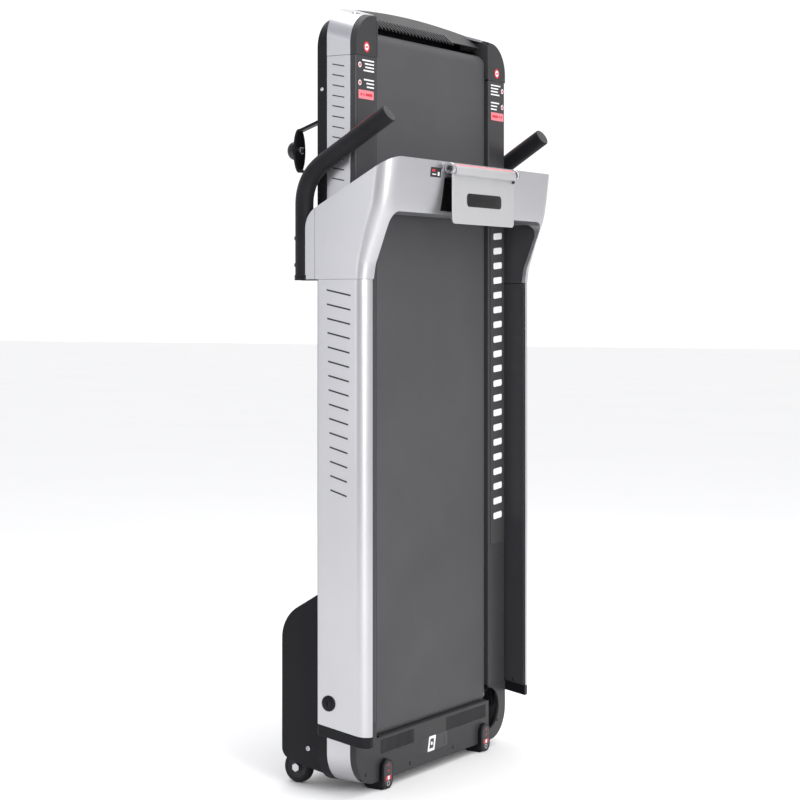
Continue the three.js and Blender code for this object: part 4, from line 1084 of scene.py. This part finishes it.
def make_pivot_cap(side, sign):
    outer = sign * ARCH_HALF
    cap = [(-0.0005, 0), (-0.0005, 0.0165), (0.0012, 0.0168), (0.0026, 0.0158), (0.0042, 0.0125),
           (0.0050, 0.0075), (0.0052, 0)]
    obj = turned(f"{side}_pivot_cap", cap, (sign, 0, 0), (outer, PIVOT.y, PIVOT.z), "black_plastic", "arch",
                 (), 56)
    slot = prism_mesh([box_outline(PIVOT.y - 0.0012, PIVOT.y + 0.0012, PIVOT.z - 0.005, PIVOT.z + 0.005,
                                   0.0008)], "X", *sorted((outer + sign * 0.0035, outer + sign * 0.01)))
    boolean(obj, slot, "DIFFERENCE")


for side, sign in (("left", -1), ("right", 1)):
    make_wheel(side)
    make_stand(side)
    make_pivot_cap(side, sign)
    refine(f"{side}_side_band", "silver_shell", 0.0012)
    refine(f"{side}_corner_trim", "silver_shell", 0.0010)
    screw((sign * 0.276, depth(0.034), 1.6520), (0, 0, 1), "deck", 0.0062, "bare_steel", "hex")
    for z in (0.62, 1.02, 1.50):
        screw((sign * DECK_HALF, depth(0.086), z), (sign, 0, 0), "deck", 0.0042, "bare_steel", "hex")
screw((-HOOD_HIGH.x, depth(0.135), 0.088), (-1, 0, 0), "deck", 0.0058, "bare_steel")
screw((HOOD_HIGH.x, depth(0.135), 0.088), (1, 0, 0), "deck", 0.0058, "bare_steel")
refine("underframe", "frame_paint", 0.0008)


# ---- console face ----
def on_face(mesh):
    face = Matrix.Translation((0, depth(-0.061), slope_z(-0.061))) @ Matrix.Rotation(-SLOPE, 4, "X")
    mesh.transform(face)
    return mesh


def face_mark(name, outline, height, finish, thick=0.0003):
    return piece(name, on_face(prism_mesh([outline], "Z", height, height + thick)), finish, "arch")


def make_console_face():
    refine("console_display", "glass", 0.0008)
    for x, width in ((-0.048, 0.030), (-0.012, 0.022), (0.020, 0.026)):
        for k in range(2):
            face_mark(numbered("display_bar"), box_outline(x - width / 2, x + width / 2, 0.012 - 0.030 * k,
                                                           0.0135 - 0.030 * k), 0.0012, "white_ink", 0.0001)
    for name, x, finish in (("start_button", 0.062, "red_ink"), ("speed_up_button", 0.102, "white_ink"),
                            ("speed_down_button", 0.142, "white_ink")):
        low = -0.009
        cap = [(low, 0), (low, 0.011), (0.0016, 0.011), (0.0023, 0.0103), (0.0025, 0.009), (0.0019, 0.004),
               (0.0017, 0)]
        mesh = on_face(turned_mesh(cap, (0, 0, 1), (x, 0, 0), 48))
        piece(f"{name}_cap", mesh, "charcoal_plastic", name, [name])
        shapes = [box_outline(x - 0.0035, x + 0.0035, -0.0006, 0.0006)]
        if name == "speed_up_button":
            shapes.append(box_outline(x - 0.0006, x + 0.0006, -0.0035, 0.0035))
        if name == "start_button":
            shapes = [[Vector((x - 0.003, -0.0035)), Vector((x + 0.004, 0)), Vector((x - 0.003, 0.0035))]]
        for shape in shapes:
            mark = on_face(prism_mesh([shape], "Z", 0.0018, 0.0022))
            piece(numbered(f"{name}_mark"), mark, finish, name)
    refine("safety_key", "key_red", 0.0012, 3)
    socket = [(-0.0002, 0.0126), (0.0004, 0.0134), (0.0014, 0.0158), (0.0004, 0.0172), (-0.0002, 0.0172),
              (-0.0002, 0.0126)]
    piece("key_socket", on_face(turned_mesh(socket, (0, 0, 1), (-0.122, 0, 0), 48)), "black_plastic", "arch")


make_console_face()
refine("power_rocker", "gloss_black", 0.0005)
bezel = [rounded([(depth(0.1215), 0.2015, 0.004), (depth(0.1535), 0.2015, 0.004),
                  (depth(0.1535), 0.2435, 0.004), (depth(0.1215), 0.2435, 0.004)]),
         rounded([(depth(0.1262), 0.2062, 0.002), (depth(0.1488), 0.2062, 0.002),
                  (depth(0.1488), 0.2388, 0.002), (depth(0.1262), 0.2388, 0.002)])]
piece("switch_bezel", prism_mesh(bezel, "X", HOOD_HIGH.x - 0.0002, HOOD_HIGH.x + 0.0012, 0.0004),
      "gloss_black", "deck")


# ---- marks on the silver shells: a plain pattern of slanted bars, no lettering ----
def make_shell_marks():
    for i in range(15):
        z = 1.065 - 0.030 * i
        half = 0.030 - 0.0007 * i
        middle = depth(0.018)
        bar = [Vector((middle - half, z - 0.006)), Vector((middle + half, z + 0.006)),
               Vector((middle + half, z + 0.0095)), Vector((middle - half, z - 0.0025))]
        for sign in (-1, 1):
            flat_mark(numbered("upright_mark"), bar, "X", sign * ARCH_HALF, sign, "black_ink", "arch",
                      0.00025)
    for i in range(12):
        z = 1.545 - 0.022 * i
        bar = [Vector((depth(0.030), z)), Vector((depth(0.060), z + 0.006)),
               Vector((depth(0.060), z + 0.0085)), Vector((depth(0.030), z + 0.0025))]
        for sign in (-1, 1):
            flat_mark(numbered("band_mark"), bar, "X", sign * DECK_HALF, sign, "black_ink", "deck", 0.00025)


make_shell_marks()
def make_beam_label():
    """A plain label beside the tablet rest, lying on the console's leaning front."""
    tilt = Matrix.Translation((-0.185, depth(-0.1103), 1.3250)) @ Matrix.Rotation(0.113, 4, "X")
    for name, box, finish, thick in (("beam_label", (-0.0215, 0.0215, -0.0105, 0.0105), "black_ink", 0.0007),
                                     ("beam_label_red", (-0.0160, -0.0050, 0.0010, 0.0060), "red_ink",
                                      0.0009),
                                     ("beam_label_pale", (0.0080, 0.0150, -0.0070, 0.0010), "white_ink",
                                      0.0009),
                                     ("beam_label_dash", (-0.0150, 0.0010, -0.0055, -0.0035), "white_ink",
                                      0.0009)):
        mesh = prism_mesh([box_outline(*box, 0.0006)], "Y", -thick, 0.0012)
        mesh.transform(tilt)
        piece(name, mesh, finish, "arch")


make_beam_label()


# ---- floor and studio light ----
def make_floor():
    bm = bmesh.new()
    size, steps = 45.0, 18
    rows = [[bm.verts.new((size * (2 * i / steps - 1), size * (2 * j / steps - 1),
                           0)) for i in range(steps + 1)]
            for j in range(steps + 1)]
    for a, b in zip(rows, rows[1:]):
        for i in range(steps):
            bm.faces.new((a[i], a[i + 1], b[i + 1], b[i]))
    mesh = bpy.data.meshes.new("floor")
    bm.to_mesh(mesh)
    bm.free()
    floor = bpy.data.objects.new("floor", mesh)
    bpy.context.scene.collection.objects.link(floor)
    f = Finish("studio_floor", (0.94, 0.94, 0.945), 0.85).vary(0.8, 0.01).smudge(1.2, 0.03)
    mesh.materials.append(f.bump(f.noise(30, 3), 0.02, 0.0005).material)


def area_light(name, place, target, size, power, color=(1, 1, 1)):
    data = bpy.data.lights.new(name, "AREA")
    data.shape = "RECTANGLE"
    data.size, data.size_y = size
    data.energy = power
    data.color = color
    light = bpy.data.objects.new(name, data)
    bpy.context.scene.collection.objects.link(light)
    light.location = place
    light.rotation_euler = (Vector(target) - Vector(place)).to_track_quat("-Z", "Y").to_euler()


def make_world():
    """A white studio whose walls differ with the compass direction: a dark flag beside a bright softbox."""
    world = bpy.data.worlds.new("studio")
    world.use_nodes = True
    nodes, links = world.node_tree.nodes, world.node_tree.links
    coords, around = nodes.new("ShaderNodeTexCoord"), nodes.new("ShaderNodeTexGradient")
    around.gradient_type = "RADIAL"
    links.new(coords.outputs["Generated"], around.inputs["Vector"])
    ramp = nodes.new("ShaderNodeValToRGB")
    ramp.color_ramp.interpolation = "EASE"
    walls = ((180, 0.14, 0), (-156, 0.20, 0), (-134, 1.0, 0), (-108, 1.0, 0), (-72, 0.40, 0),
             (-31, 0.33, 0), (8, 0.52, 0),
             (50, 0.56, 0), (110, 0.42, 0), (146, 0.32, 0.03), (168, 0.24, 0.03))
    stops = sorted(((math.radians(azimuth) / (2 * math.pi) + 0.5) % 1.0, level, tint) for azimuth, level,
                   tint in walls)
    elements = ramp.color_ramp.elements
    while len(elements) < len(stops):
        elements.new(0.5)
    for element, (position, level, tint) in zip(elements, stops):
        element.position = position
        element.color = (level, level, level + tint, 1)
    links.new(around.outputs["Fac"], ramp.inputs["Fac"])
    links.new(ramp.outputs["Color"], nodes["Background"].inputs["Color"])
    nodes["Background"].inputs["Strength"].default_value = 2.0
    bpy.context.scene.world = world


make_floor()
make_world()
area_light("key", (-2.4, -3.2, 2.2), (0, 0, 0.9), (0.7, 2.8), 60)
area_light("top", (0.2, -0.2, 4.2), (0, 0, 0.5), (3.2, 3.2), 90)
area_light("side", (-3.4, 1.4, 1.6), (0, 0, 0.9), (0.5, 2.6), 8)
bpy.context.scene.view_settings.view_transform = "Standard"
